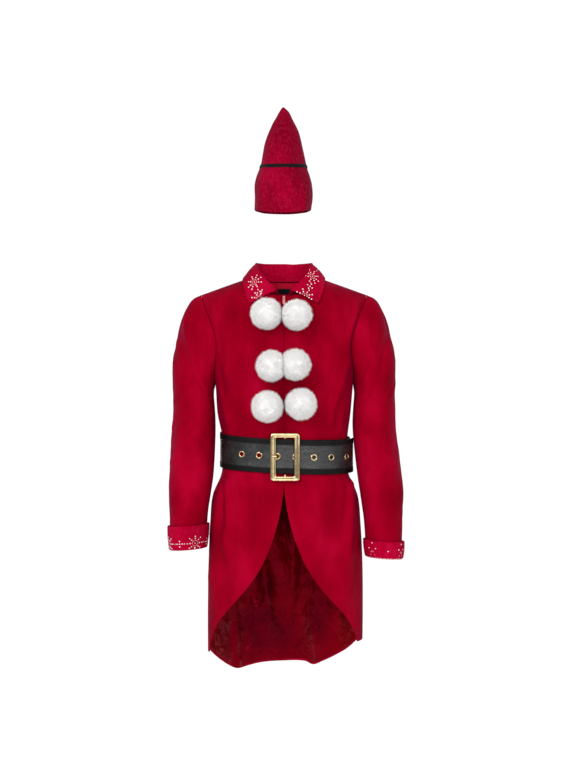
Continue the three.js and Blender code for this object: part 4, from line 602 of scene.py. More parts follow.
def sleeve_sheet(hand, rows, columns):
    sign = SIGN[hand]
    at = (SLEEVE_SECTIONS - 1) * edge_steps(rows, 0.001)[:, None]
    turn = 2 * np.pi * np.arange(columns)[None, :] / columns
    points = sleeve_ellipse(sign, at + 0 * turn, turn + 0 * at)
    first = sleeve_ellipse(sign, 0 * turn, turn)
    fade = np.interp(at, [0, 1, 2, 3, 4], [1, 0.5, 0.2, 0.06, 0])
    points = points + (armhole_loop(sign, turn) - first) * fade[..., None]
    z = points[..., 2].copy()
    points[..., 0] += sign * SLEEVE_SHIFT[hand] * smooth((-340 - z) / 180)
    points[..., 0] += sign * 0.7 * (1 - smooth(at))
    points[..., 2] -= SLEEVE_DROP[hand] * smooth((-300 - z) / 320)
    centre = points.mean(axis=1, keepdims=True)
    normals = facing(normals_of(points, around=True), points, centre)
    return points, normals, at / (SLEEVE_SECTIONS - 1), turn / (2 * np.pi)


def make_sleeves(material):
    for hand in ("right", "left"):
        points, normals, along, turn = sleeve_sheet(hand, 210, 108)
        outer_side = smooth((0.36 - np.minimum(turn, 1 - turn)) / 0.12)
        height = wrinkle_height(LARGE_WRINKLES, along, turn) * outer_side
        small = wrinkle_height(SMALL_WRINKLES[hand], along, turn) + 0.6 * soft_noise(points, 70, 21)
        small *= smooth((0.44 - np.minimum(turn, 1 - turn)) / 0.1)
        height += small * smooth(along / 0.06) * smooth((0.93 - along) / 0.05)
        outer = points + normals * height[..., None]
        piece = shell(f"sleeve_{hand}_velvet", outer, outer - normals * VELVET, around=True)
        dress(piece, material, f"sleeve_{hand}")


# Cuffs and collar

CUFF_HEIGHT = {"right": 58, "left": 42}
CUFF_EASE = 2.2
CUFF_OVERHANG = 3.6
CUFF_FACE = slice(4, 12)


def cuff_section(height):
    """Out from the sleeve's face and up from its end, once round the folded cloth."""
    return np.array([
        (0.6, height), (0.9, height + 0.6), (1.9, height + 1), (2.9, height + 0.6), (3.2, height - 0.4),
        (3.7, 0.8 * height), (4.1, 0.62 * height), (4.4, 0.5 * height), (4.2, 0.34 * height),
        (3.8, 0.16 * height), (3.2, 2.5), (2.4, 0.7), (1.2, 0), (-1.0, -0.2), (-3.0, 0), (-4.1, 0.5),
        (-4.6, 1.6), (-4.6, 18), (-2.6, 18), (-2.6, 3), (0.6, 3), (0.6, 0.3 * height), (0.6, 0.65 * height),
    ])


def cuff_grid(hand, columns=216):
    """The cuff's folded section round the sleeve's end, laid along the directions up and out of it."""
    points, normals, _, _ = sleeve_sheet(hand, 160, columns)
    end, out = points[-1], normals[-1]
    up = points[-22] - end
    up /= np.linalg.norm(up, axis=-1, keepdims=True)
    out_by, rise = cuff_section(CUFF_HEIGHT[hand]).T
    ease = np.where(out_by > 0, CUFF_EASE * smooth(rise / CUFF_HEIGHT[hand]), 0)
    turn = 2 * np.pi * np.arange(columns) / columns
    wave = 0.7 * np.sin(3 * turn + 0.8) + 0.4 * np.sin(5 * turn + SIGN[hand])
    lift = (out_by + ease)[:, None] + np.where(out_by > 1, 1, 0)[:, None] * wave[None, :] * 0.8
    grid = end + up * (rise - CUFF_OVERHANG)[:, None, None] + out * lift[..., None]
    return grid


def closed_band(name, grid):
    """A ring whose rows close on themselves, as rows run once round a section."""
    return new_mesh(name, grid, ring_faces(*grid.shape[:2]))


COLLAR = {
    "seamX": [0, 26, 48, 63.5, 71, 67.5, 58, 41, 23, 9],
    "seamY": [43, 38.5, 28, 15, 0, -22, -43, -59, -60.5, -62.5],
    "seamZ": [0.2, 0.2, 0.5, 2, 3, -1, -15, -32, -43, -47],
    "foldX": [0, 25, 48, 64, 69.5, 66, 59.5, 45, 29, 18],
    "foldY": [52, 48.5, 37, 20, 0, -22, -46, -68, -80, -87],
    "foldZ": [45.5, 45.5, 45.5, 45.5, 44.5, 37, 19, -2, -16, -27],
    "edgeX": [0, 31, 62, 88, 100, 102, 99, 92, 87, 81],
    "edgeY": [84, 80, 67, 43, 8, -26, -56, -76, -83, -87.5],
}
COLLAR_THICK = 2.0
COLLAR_LIFT = 4.2
COLLAR_FOLD_RADIUS = 2.6
COLLAR_SWELL = 1.5


def clear_of_yoke(points, gap):
    """Moves points out of the yoke until they lie the wanted distance from it."""
    x, y, z = points[..., 0], points[..., 1], points[..., 2]
    side_depth = np.where(y < 0, torso(YOKE_Z, "front"), torso(YOKE_Z, "back"))
    width = side_width(x, np.minimum(z, YOKE_TOP_Z))
    across = np.maximum(0.02, 1 - (np.abs(x) / width) ** YOKE_SQUARE) ** (1 / YOKE_SQUARE)
    depth = side_depth * across
    rise = ridge_height(x) - YOKE_Z
    u, v = np.maximum(0, (z - YOKE_Z) / rise), y / depth
    slope = np.stack([0 * u, 2 * v / depth, 2 * u / rise], -1)
    steep = np.maximum(np.linalg.norm(slope, axis=-1), 1e-6)
    distance = (u * u + v * v - 1) / steep
    push = np.maximum(0, gap - distance)
    return points + slope / steep[..., None] * push[..., None]


def yoke_height(x, y):
    share = np.abs(x) / torso(YOKE_TOP_Z, "left")
    depth = np.where(y < 0, torso(YOKE_Z, "front"), torso(YOKE_Z, "back"))
    depth = depth * (1 - share**YOKE_SQUARE) ** (1 / YOKE_SQUARE)
    across = np.clip(np.abs(y) / depth, 0, 1)
    return YOKE_Z + (ridge_height(x) - YOKE_Z) * np.sqrt(1 - across * across)


def collar_grid(rows, columns):
    """Rows run from the neck seam up over the fold to the outer edge, columns round the neck."""
    section = 9 * np.linspace(-1, 1, columns)
    section = np.sign(section) * 9 * (np.abs(section) / 9) ** 0.92
    side = np.where(section < 0, -1.0, 1.0)
    value = {key: hermite(np.arange(10), numbers, np.abs(section)) for key, numbers in COLLAR.items()}
    seam = np.stack([side * value["seamX"], value["seamY"], value["seamZ"]], -1)
    fold = np.stack([side * value["foldX"], value["foldY"], value["foldZ"]], -1)
    edge_z = yoke_height(value["edgeX"], value["edgeY"]) + COLLAR_LIFT
    edge = np.stack([side * value["edgeX"], value["edgeY"], edge_z], -1)
    out = (edge - fold) * (1, 1, 0)
    out /= np.linalg.norm(out, axis=-1, keepdims=True)
    up = np.array([0, 0, 1.0])
    inner = fold - out * COLLAR_FOLD_RADIUS - up * COLLAR_FOLD_RADIUS * 1.6
    outer = fold + out * COLLAR_FOLD_RADIUS - up * COLLAR_FOLD_RADIUS * 1.2
    swell = out * COLLAR_SWELL + up * COLLAR_SWELL
    upper = outer + (edge - outer) * 0.3 + swell
    lower = outer + (edge - outer) * 0.66 + swell
    curve = np.stack([seam, (seam + inner) / 2, inner, fold, outer, upper, lower, edge])
    curve[4:] = clear_of_yoke(curve[4:], COLLAR_LIFT)
    lengths = np.linalg.norm(np.diff(curve, axis=0), axis=-1).mean(axis=1)
    keys = np.concatenate([[0], np.cumsum(lengths)])
    at = keys[-1] * edge_steps(rows, 0.003)
    flat = curve.reshape(len(curve), -1)
    grid = np.stack([hermite(keys, flat[:, k], at) for k in range(flat.shape[1])], -1)
    grid = grid.reshape(len(at), columns, 3)
    low = grid[:, :, 2] < 40
    on_yoke = at[:, None] > keys[4]
    cleared = clear_of_yoke(grid, COLLAR_LIFT - 0.6)
    return np.where((low & on_yoke)[..., None], cleared, grid)


def make_collar(material):
    points = collar_grid(60, 170)
    normals = normals_of(points)
    middle = normals[45, 85]
    if middle[1] < 0:
        normals = -normals
    height = 0.5 * soft_noise(points, 60, 41)
    points = points + normals * height[..., None]
    rim = np.zeros(points.shape[:2])
    rim[[0, -1], :] = 0.6
    rim[:, [0, -1]] = 0.6
    half = (COLLAR_THICK / 2 - rim)[..., None]
    piece = shell("collar_velvet", points + normals * half, points - normals * half)
    dress(piece, material, "collar")
    return points + normals * half, normals


def make_cuffs(material):
    made = {}
    for hand in ("right", "left"):
        grid = cuff_grid(hand)
        piece = closed_band(f"cuff_{hand}_velvet", grid)
        dress(piece, material, f"cuff_{hand}")
        made[hand] = grid
    return made


# White dots printed in raised paint: snowflakes, crosses and chains


def dome(sides=8):
    """A low unit dome: points as radius share, turn and height share, with its faces."""
    points, faces = [], []
    for ring, (radius, height) in enumerate(((1.0, 0.0), (0.72, 0.75), (0.0, 1.0))):
        count = sides if radius > 0 else 1
        for k in range(count):
            turn = 2 * math.pi * k / sides
            points.append((radius * math.cos(turn), radius * math.sin(turn), height))
        if ring == 0:
            continue
    for k in range(sides):
        n = (k + 1) % sides
        faces.append([k, n, sides + n, sides + k])
        faces.append([sides + k, sides + n, 2 * sides])
    faces.append(list(range(sides))[::-1])
    return np.array(points), faces


RING_DOTS = 14
RING_REACH = 6.6
ARM_REACH = (12.3, 19.6)
CHAIN_PITCH = 7.3


def snowflake():
    """Places of a snowflake's dots: a middle dot, a ring of small dots and eight arms, in mm."""
    dots = [(0, 0, 1.35)]
    for k in range(RING_DOTS):
        turn = 2 * math.pi * k / RING_DOTS
        dots.append((RING_REACH * math.sin(turn), RING_REACH * math.cos(turn), 0.8))
    for k in range(8):
        turn = 2 * math.pi * k / 8
        for reach in ARM_REACH:
            dots.append((reach * math.sin(turn), reach * math.cos(turn), 1.75))
    return dots


FLAKE = snowflake()
CROSS = [(0, 0, 1.6), (7, 0, 1.6), (-7, 0, 1.6), (0, 7, 1.6), (0, -7, 1.6)]
FLAKE_CLEAR = 23.5
CROSS_CLEAR = 9.5
DOT = [(0, 0, 1.2)]


def surface_at(grid, normals, u, v):
    """Point, normal and the two directions at u along the columns and v along the rows."""
    rows, columns = grid.shape[:2]
    i = int(min(max(u, 0), columns - 1.001))
    j = int(min(max(v, 0), rows - 1.001))
    a, b = u - i, v - j
    n = min(i + 1, columns - 1)
    corner = grid[j, i] * (1 - a) * (1 - b) + grid[j, n] * a * (1 - b)
    corner = corner + grid[j + 1, i] * (1 - a) * b + grid[j + 1, n] * a * b
    along = grid[j, n] - grid[j, i]
    along = along / np.linalg.norm(along)
    out = normals[j, i]
    up = np.cross(out, along)
    return corner, out, along, up


def dots_on(name, grid, normals, marks, material, height=0.35):
    """One mesh of low domes on a face. Each mark is a column, a row and a list of dots in mm."""
    shape, faces = dome()
    points, all_faces = [], []
    lengths_u = np.linalg.norm(np.diff(grid, axis=1), axis=-1)
    lengths_v = np.linalg.norm(np.diff(grid, axis=0), axis=-1)
    for u, v, dots in marks:
        i = int(min(max(u, 0), grid.shape[1] - 2))
        j = int(min(max(v, 0), grid.shape[0] - 2))
        per_u, per_v = max(lengths_u[j, i], 0.3), max(lengths_v[j, i], 0.3)
        for dx, dy, size in dots:
            at_u, at_v = u + dx / per_u, v - dy / per_v
            if not (0.5 <= at_u <= grid.shape[1] - 1.5 and 0.5 <= at_v <= grid.shape[0] - 1.5):
                continue
            centre, out, along, up = surface_at(grid, normals, at_u, at_v)
            base = len(points)
            for px, py, pz in shape:
                points.append(centre + along * px * size + up * py * size + out * (pz * height - 0.1))
            all_faces += [[base + k for k in face] for face in faces]
    piece = new_mesh(name, np.array(points), all_faces)
    piece.data.materials.append(material)
    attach(piece, GARMENT)
    return piece


def seen_at(grid, normals, x, z):
    """Column and row of the grid's point that faces the camera and shows nearest to x, z in mm."""
    nearer = CAMERA_DISTANCE / (CAMERA_DISTANCE + grid[..., 1])
    across = CAMERA_X + (grid[..., 0] - CAMERA_X) * nearer
    up = CAMERA_Z + (grid[..., 2] - CAMERA_Z) * nearer
    away = (across - x) ** 2 + (up - z) ** 2 + np.where(normals[..., 1] > 0.1, 400.0, 0.0)
    row, column = np.unravel_index(int(np.argmin(away)), away.shape)
    return float(column), float(row)


def chain_between(grid, here, there):
    """Single dots along a grid from one stop to the next, kept clear of the motif at each."""
    rows, columns = grid.shape[:2]
    share = np.linspace(0, 1, 241)
    u = here[0] + (there[0] - here[0]) * share
    v = np.clip(here[1] + (there[1] - here[1]) * share, 0, rows - 1.001)
    i, j = np.floor(u).astype(int), np.floor(v).astype(int)
    a, b = (u - i)[:, None], (v - j)[:, None]
    left, right = grid[j, i % columns], grid[j, (i + 1) % columns]
    low_left, low_right = grid[j + 1, i % columns], grid[j + 1, (i + 1) % columns]
    points = (left * (1 - a) + right * a) * (1 - b) + (low_left * (1 - a) + low_right * a) * b
    at = np.concatenate([[0], np.cumsum(np.linalg.norm(np.diff(points, axis=0), axis=-1))])
    room = at[-1] - here[2] - there[2]
    count = max(1, round(room / CHAIN_PITCH))
    wanted = here[2] + room * (np.arange(count) + 0.5) / count
    return [(float(np.interp(s, at, u)) % columns, float(np.interp(s, at, v)), DOT) for s in wanted]


def motifs(grid, stops):
    """A snowflake or a cross at each stop, with the chain that joins them."""
    marks = [(u % grid.shape[1], v, FLAKE if clear == FLAKE_CLEAR else CROSS) for u, v, clear in stops]
    for here, there in zip(stops[:-1], stops[1:]):
        marks += chain_between(grid, here, there)
    return marks


COLLAR_FLAKES = {"right": [(-74, -3), (-57.5, -50)], "left": [(70.6, 12.5), (51, -35)]}
COLLAR_CROSSES = {"right": (-60.6, -26), "left": (64.4, -14)}
BACK_STOPS = (0.36, 0.43, 0.5, 0.57, 0.64)


def collar_marks(grid, normals, first):
    """Flake, cross and flake down each front of the collar, and the same run round its back."""
    face, out = grid[first:], normals[first:]
    columns = grid.shape[1]
    runs = {}
    for hand in ("right", "left"):
        upper, lower = COLLAR_FLAKES[hand]
        stops = []
        middle = COLLAR_CROSSES[hand]
        for spot, clear in ((lower, FLAKE_CLEAR), (middle, CROSS_CLEAR), (upper, FLAKE_CLEAR)):
            u, v = seen_at(face, out, *spot)
            stops.append((u, v + first, clear))
        runs[hand] = stops
    middle_row = first + 0.5 * (grid.shape[0] - first)
    back = [(columns * share, middle_row, CROSS_CLEAR if k % 2 == 0 else FLAKE_CLEAR)
            for k, share in enumerate(BACK_STOPS)]
    ends = sorted(runs.values(), key=lambda stops: stops[-1][0])
    bare = [(u, v, FLAKE if clear == FLAKE_CLEAR else CROSS) for u, v, clear in ends[0]]
    return bare + motifs(grid, back + ends[1][::-1])


CUFF_FLAKES = 4
CUFF_SEEN = {"right": (-222, -646), "left": (220, -664)}
CUFF_ROW = {"right": 0.62, "left": 1.0}


def cuff_marks(hand, grid, normals):
    """Snowflakes and crosses in turn round the cuff, joined by a chain of dots."""
    rows, columns = grid.shape[:2]
    start, _ = seen_at(grid, normals, *CUFF_SEEN[hand])
    row = min(CUFF_ROW[hand] * rows, rows - 1.6)
    stops = []
    for k in range(2 * CUFF_FLAKES + 1):
        u = start + columns * (k / (2 * CUFF_FLAKES))
        stops.append((u, row, FLAKE_CLEAR if k % 2 == 0 else CROSS_CLEAR))
    return motifs(grid, stops)


def make_prints(collar_face, collar_normals, cuffs, material):
    made = {}
    first = int(collar_face.shape[0] * 0.5)
    marks = collar_marks(collar_face, collar_normals, first)
    made["collar"] = dots_on("collar_dots", collar_face, collar_normals, marks, material)
    for hand, grid in cuffs.items():
        face = grid[CUFF_FACE]
        fine = np.concatenate([face[j:j + 1] + (face[j + 1:j + 2] - face[j:j + 1]) * (k / 6)
                               for j in range(7) for k in range(6)])
        normals = facing(normals_of(fine, around=True), fine, fine.mean(axis=1, keepdims=True))
        marks = cuff_marks(hand, fine, normals)
        made[f"cuff_{hand}"] = dots_on(f"cuff_{hand}_dots", fine, normals, marks, material)
    return made


# Pompoms: a soft core with many short tapered fibres

POMPOMS = [
    ("pompom_top_right", -42, -88, 38.5),
    ("pompom_top_left", 31, -91, 37.5),
    ("pompom_middle_right", -29.5, -214, 38),
    ("pompom_middle_left", 27.5, -211, 38),
    ("pompom_bottom_right", -39.5, -312, 38.5),
    ("pompom_bottom_left", 41, -306, 38.5),
]
POMPOM_SIT = 0.86
FIBRES = 6000
CORE_SHARE = 0.82
CORE_CORNERS = 900
FIBRE_TURNS = (0, 2.094, 4.189)


def front_depth(x, z):
    width = side_width(x, z)
    square = torso(z, "square")
    across = np.maximum(0, 1 - (np.abs(x) / width) ** square) ** (1 / square)
    return torso(z, "front") * across * yoke_share(x, z)


def front_frame(x, z):
    step = 2
    slope_x = (front_depth(x + step, z) - front_depth(x - step, z)) / (2 * step)
    slope_z = (front_depth(x, z + step) - front_depth(x, z - step)) / (2 * step)
    normal = np.array([-slope_x, -1, -slope_z], float)
    normal /= np.linalg.norm(normal)
    return np.array([x, -front_depth(x, z) - SEAM_HALF, z], float), normal


def pompom_centres():
    centres = []
    for _, x, z, radius in POMPOMS:
        surface, normal = front_frame(x, z)
        centre = surface + normal * radius * POMPOM_SIT
        centres.append(np.array([x, centre[1], z]))
    return centres


def sphere_ways(count, turn):
    golden = math.pi * (3 - math.sqrt(5))
    k = np.arange(count)
    z = 1 - (2 * k + 1) / count
    flat = np.sqrt(1 - z * z)
    return np.stack([flat * np.cos(golden * k + turn), flat * np.sin(golden * k + turn), z], -1)


def make_pompom(index, centres, material):
    name, x, z, radius = POMPOMS[index]
    centre = centres[index]
    rng = np.random.default_rng(100 + index)
    surface, normal = front_frame(x, z)
    planes = [(-normal, np.dot(surface - centre, -normal) - 0.3)]
    for k, other in enumerate(centres):
        between = other - centre
        distance = np.linalg.norm(between)
        if k != index and distance < radius * 2.2:
            planes.append((between / distance, distance / 2 + 1.0))

    def reach(ways, lengths):
        lengths = lengths.copy()
        for way, limit in planes:
            toward = ways @ way
            cut = np.minimum(lengths, limit / np.maximum(toward, 0.05))
            lengths = np.where(toward > 0.05, cut, lengths)
        return lengths

    core_ways = sphere_ways(CORE_CORNERS, 0.3)
    faces = convex_faces(core_ways)
    lump = 1 + 0.05 * soft_noise(core_ways * 30, 22, 300 + index)
    core = centre + core_ways * reach(core_ways, CORE_SHARE * radius * lump)[:, None]
    mesh_points = [core]
    ways = sphere_ways(FIBRES, 1.0 + index) + rng.normal(scale=0.03, size=(FIBRES, 3))
    ways /= np.linalg.norm(ways, axis=1, keepdims=True)
    tufts = soft_noise(ways * 30, 13, 200 + index)
    length = radius * (0.99 + 0.045 * tufts + rng.normal(scale=0.05, size=FIBRES))
    length = np.minimum(length, 1.1 * radius)
    length = reach(ways, length)
    swirl = np.cross(ways, rng.normal(size=(FIBRES, 3)))
    swirl /= np.linalg.norm(swirl, axis=1, keepdims=True)
    side = np.cross(ways, swirl)
    root = centre + ways * (CORE_SHARE * 0.9 * reach(ways, np.full(FIBRES, radius)))[:, None]
    lean = rng.uniform(3.0, 9.0, size=FIBRES)[:, None]
    middle = centre + ways * (0.6 * length + 0.4 * CORE_SHARE * radius)[:, None] + swirl * lean * 0.35
    halfway = (root + centre + ways * length[:, None]) / 2
    middle = np.where((length < 0.9 * radius)[:, None], halfway, middle)
    tip = centre + ways * length[:, None] + swirl * lean
    for other_way, limit in planes:
        over = np.maximum(0, (tip - centre) @ other_way - limit)
        tip = tip - over[:, None] * other_way
    base = len(core)
    thick = rng.uniform(0.34, 0.68, size=FIBRES)[:, None]
    rings = []
    for at, share in ((root, 1.0), (middle, 0.8)):
        for turn in FIBRE_TURNS:
            rings.append(at + (swirl * math.cos(turn) + side * math.sin(turn)) * thick * share)
    block = np.stack(rings + [tip], 1)
    mesh_points.append(block.reshape(-1, 3))
    start = base + 7 * np.arange(FIBRES)[:, None]
    for k in range(3):
        n = (k + 1) % 3
        faces += np.hstack([start + k, start + n, start + 3 + n, start + 3 + k]).tolist()
        faces += np.hstack([start + 3 + k, start + 3 + n, start + 6]).tolist()
    piece = new_mesh(f"{name}_fur", np.concatenate(mesh_points), faces)
    return dress(piece, material, name)


def convex_faces(ways):
    """Faces of the ball whose corners are these directions."""
    ball = bmesh.new()
    corners = [ball.verts.new(way) for way in ways]
    bmesh.ops.convex_hull(ball, input=corners)
    ball.verts.index_update()
    faces = [[v.index for v in face.verts] for face in ball.faces]
    ball.free()
    return faces


# Belt, eyelets, buckle and prong

BELT_THICK = 2.6
BELT_FRONT_DROP = 7.5
BELT_TILT = 6
BELT_CLEAR = 1.0
LAYER_STEP = BELT_THICK + 0.6
BELT_WAIST = {"right": 156.5, "left": 161.5, "front": 94.5, "back": 87.5, "square": 2.2}
RING_STEPS = 720
EYELET_PITCH = 44
EYELET_FIRST = -104
EYELET_COUNT = 7
EYELET_OUTER = 8.2
# Drawn wider than in the solids, where it is 4.3
EYELET_INNER = 5.0
STRAP_HOLE = 5.6
EYELET_SEAT = 0.6
EYELET_RISE = 1.2
BUCKLE_X = 3
BUCKLE_Z = -434.5
BUCKLE_WIDTH = 72
BUCKLE_HEIGHT = 117
BUCKLE_BAR = 14
BUCKLE_RAIL = BUCKLE_BAR * 0.86
BUCKLE_THICK = 6
BUCKLE_RADIUS = 8
BAR_HALF = 2.4
BAR_THICK = 3.4
BAR_SEAT = BELT_CLEAR + 0.9
FREE_END = 197
FREE_END_FLARE = 5
FLARE_LENGTH = 75
LAP_BEFORE = 70
LAP_RISE = 45
BAR_RISE_HALF = 32
BAR_RISE = 16


def waist_ring():
    turn = 2 * np.pi * np.arange(RING_STEPS + 1) / RING_STEPS
    sine, cosine = np.sin(turn), np.cos(turn)
    power = 2 / BELT_WAIST["square"]
    wide = np.where(sine < 0, BELT_WAIST["right"], BELT_WAIST["left"])
    deep = np.where(cosine > 0, BELT_WAIST["front"], BELT_WAIST["back"])
    x = np.sign(sine) * wide * np.abs(sine) ** power
    y = -np.sign(cosine) * deep * np.abs(cosine) ** power
    at = np.stack([x, y], -1)
    length = np.concatenate([[0], np.cumsum(np.linalg.norm(np.diff(at, axis=0), axis=1))])
    return at, length


WAIST, WAIST_AT = waist_ring()
WAIST_LENGTH = WAIST_AT[-1]
STRAP_START = BUCKLE_X + BAR_HALF + 0.4
STRAP_END = WAIST_LENGTH + FREE_END


def on_waist(length, out):
    """Places at these lengths round the waist, moved out from it, and the ways out."""
    length = np.asarray(length, float)
    along = np.mod(length, WAIST_LENGTH)
    x = np.interp(along, WAIST_AT, WAIST[:, 0])
    y = np.interp(along, WAIST_AT, WAIST[:, 1])
    near = 6.0
    ahead, behind = np.mod(along + near, WAIST_LENGTH), np.mod(along - near, WAIST_LENGTH)
    dx = np.interp(ahead, WAIST_AT, WAIST[:, 0]) - np.interp(behind, WAIST_AT, WAIST[:, 0])
    dy = np.interp(ahead, WAIST_AT, WAIST[:, 1]) - np.interp(behind, WAIST_AT, WAIST[:, 1])
    span = np.hypot(dx, dy)
    normal = np.stack([dy / span, -dx / span], -1)
    return np.stack([x, y], -1) + normal * np.asarray(out)[..., None], normal


def strap_reach(length):
    first = BELT_CLEAR + BELT_THICK / 2
    second = first + LAYER_STEP
    over_bar = BAR_SEAT + BAR_THICK + 0.5 + BELT_THICK / 2
    reach = first + (second - first) * smooth((length - WAIST_LENGTH + LAP_BEFORE) / LAP_RISE)
    from_bar = np.abs(length - WAIST_LENGTH - BUCKLE_X)
    reach = reach + (over_bar - second) * smooth((BAR_RISE_HALF - from_bar) / BAR_RISE)
    return reach + FREE_END_FLARE * smooth((length - STRAP_END + FLARE_LENGTH) / FLARE_LENGTH)


def belt_height(at):
    drop = BELT_FRONT_DROP * np.clip(-at[..., 1] / BELT_WAIST["front"], -1, 1)
    return BELT_Z - drop - BELT_TILT * at[..., 0] / BELT_WAIST["left"]


def strap_station(length):
    at, normal = on_waist(length, strap_reach(np.asarray(length, float)))
    return at, normal, belt_height(at)


# Half height share and how far the face stands out there: bindings at the edges, a panel between
BELT_PROFILE = [
    (1.0, 0.0), (0.995, 0.55), (0.97, 0.85), (0.9, 0.95), (0.8, 0.95), (0.7, 0.92), (0.672, 0.75),
    (0.66, 0.3), (0.64, 0.12), (0.4, 0.1), (0.2, 0.12), (0.0, 0.12),
]


BINDING_FROM = 0.655
BINDING_INSET = 0.2


def binding_face(out):
    """How far the strap's outer face lies from its middle where the profile stands out this far."""
    return BELT_THICK / 2 - 0.35 + out * 0.55


def make_belt(leather, binding):
    """The strap with rolled bindings, cut by its seven holes."""
    length = np.linspace(STRAP_START, STRAP_END, 420)
    at, normal, height = strap_station(length)
    profile = BELT_PROFILE + [(-share, out) for share, out in BELT_PROFILE[-2::-1]]
    half = BELT_THICK / 2
    front, back = [], []
    for share, out in profile:
        wave = 0.35 * np.sin(length / 61.0 + share * 2) + 0.2 * np.sin(length / 23.0 + 1 + share)
        edge = smooth((abs(share) - 0.5) / 0.5)
        up = height + share * (BELT_HEIGHT / 2 - BINDING_INSET + 0.3 * np.sin(length / 47.0) * edge)
        face = binding_face(out)
        ripple = wave * (1 - edge) * 0.5
        front.append(np.column_stack([at + normal * (face + np.minimum(0, ripple))[:, None], up]))
        back.append(np.column_stack([at - normal * (half - BINDING_INSET), up]))
    piece = shell("belt_leather", np.array(front), np.array(back))
    piece.data.materials.append(leather)
    piece.data.materials.append(binding)
    spans = len(length) - 1
    for k, face in enumerate(piece.data.polygons):
        row = k // spans
        if row < len(profile) - 1:
            share = (profile[row][0] + profile[row + 1][0]) / 2
            face.material_index = int(abs(share) > BINDING_FROM)
        elif row >= 2 * (len(profile) - 1):
            face.material_index = 1
    cutters = []
    for station in eyelet_stations():
        cutters.append(cylinder_at(station, STRAP_HOLE, -half - 3, half + 3, 28))
    cutter = join_meshes("belt_cutter", cutters)
    cut = piece.modifiers.new("holes", "BOOLEAN")
    cut.object = cutter
    cut.operation = "DIFFERENCE"
    cut.solver = "EXACT"
    apply_modifiers(piece)
    bpy.data.objects.remove(cutter, do_unlink=True)
    return dress(piece, leather, "belt_strap")


STITCH_PITCH = 4.2
STITCH_SHARE = 0.7
STITCH_HALF = 1.4
THREAD_HALF = 0.3
# Share along the stitch, and how far the thread stands out of the binding there
STITCH_ARCH = ((0, -0.3), (0.25, 0.2), (0.75, 0.2), (1, -0.3))


def make_stitches(material):
    """Two rows of short raised stitches along the belt's bindings."""
    parts = []
    count = int((STRAP_END - STRAP_START - 4) / STITCH_PITCH)
    shares, outs = np.array(BELT_PROFILE).T
    order = np.argsort(shares)
    face = binding_face(float(np.interp(STITCH_SHARE, shares[order], outs[order])))
    for k in range(count):
        length = STRAP_START + 4 + k * STITCH_PITCH
        spots = np.array([length - STITCH_HALF, length, length + STITCH_HALF])
        ends, normals, heights = strap_station(spots)
        normal, height = normals[1], heights[1]
        for side in (-1, 1):
            up = height + side * STITCH_SHARE * (BELT_HEIGHT / 2 - BINDING_INSET)
            path = []
            for share, rise in STITCH_ARCH:
                spot = ends[0] * (1 - share) + ends[2] * share + normal * (face + rise)
                path.append((spot[0], spot[1], up))
            parts.append(thread(np.array(path), THREAD_HALF))
    piece = join_meshes("belt_stitches", parts)
    piece.data.materials.append(material)
    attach(piece, GARMENT)


def thread(path, half):
    """A square thread along a path, with its ends closed."""
    up = np.array([0, 0, 1.0])
    points = []
    for k, spot in enumerate(path):
        way = path[min(k + 1, len(path) - 1)] - path[max(k - 1, 0)]
        side = np.cross(way, up)
        side /= np.linalg.norm(side)
        points += [spot + side * half, spot + up * half, spot - side * half, spot - up * half]
    faces = []
    for k in range(len(path) - 1):
        for n in range(4):
            m = (n + 1) % 4
            faces.append([4 * k + n, 4 * k + m, 4 * k + 4 + m, 4 * k + 4 + n])
    last = 4 * (len(path) - 1)
    faces += [[0, 1, 2, 3][::-1], [last, last + 1, last + 2, last + 3]]
    return np.array(points), faces


def eyelet_stations():
    stations = []
    for i in range(EYELET_COUNT):
        at, normal, height = strap_station(WAIST_LENGTH + EYELET_FIRST + EYELET_PITCH * i)
        stations.append((at, normal, float(height)))
    return stations


def station_frame(station):
    at, normal, height = station
    out = np.array([normal[0], normal[1], 0.0])
    along = np.array([-normal[1], normal[0], 0.0])
    return np.array([at[0], at[1], height]), out, along, np.array([0, 0, 1.0])


def cylinder_at(station, radius, low, high, sides):
    centre, out, along, up = station_frame(station)
    turn = 2 * np.pi * np.arange(sides) / sides
    ring = np.outer(np.cos(turn), along) + np.outer(np.sin(turn), up)
    points = np.concatenate([centre + out * low + ring * radius, centre + out * high + ring * radius])
    return points, prism_faces(sides)


def lathe_at(station, profile, sides):
    """A ring turned round the station's outward axis; the profile closes on itself."""
    centre, out, along, up = station_frame(station)
    turn = 2 * np.pi * np.arange(sides) / sides
    ring = np.outer(np.cos(turn), along) + np.outer(np.sin(turn), up)
    points = np.concatenate([centre + out * rise + ring * radius for radius, rise in profile])
    return points, ring_faces(len(profile), sides)


def join_meshes(name, parts, smooth_shade=True):
    points, faces, base = [], [], 0
    for part_points, part_faces in parts:
        points.append(np.asarray(part_points))
        faces += [[base + k for k in face] for face in part_faces]
        base += len(part_points)
    return new_mesh(name, np.concatenate(points), faces, smooth_shade)


def apply_modifiers(piece):
    graph = bpy.context.evaluated_depsgraph_get()
    mesh = bpy.data.meshes.new_from_object(piece.evaluated_get(graph))
    piece.modifiers.clear()
    old = piece.data
    piece.data = mesh
    bpy.data.meshes.remove(old)


def fix_normals(piece):
    work = bmesh.new()
    work.from_mesh(piece.data)
    bmesh.ops.recalc_face_normals(work, faces=work.faces)
    work.to_mesh(piece.data)
    work.free()


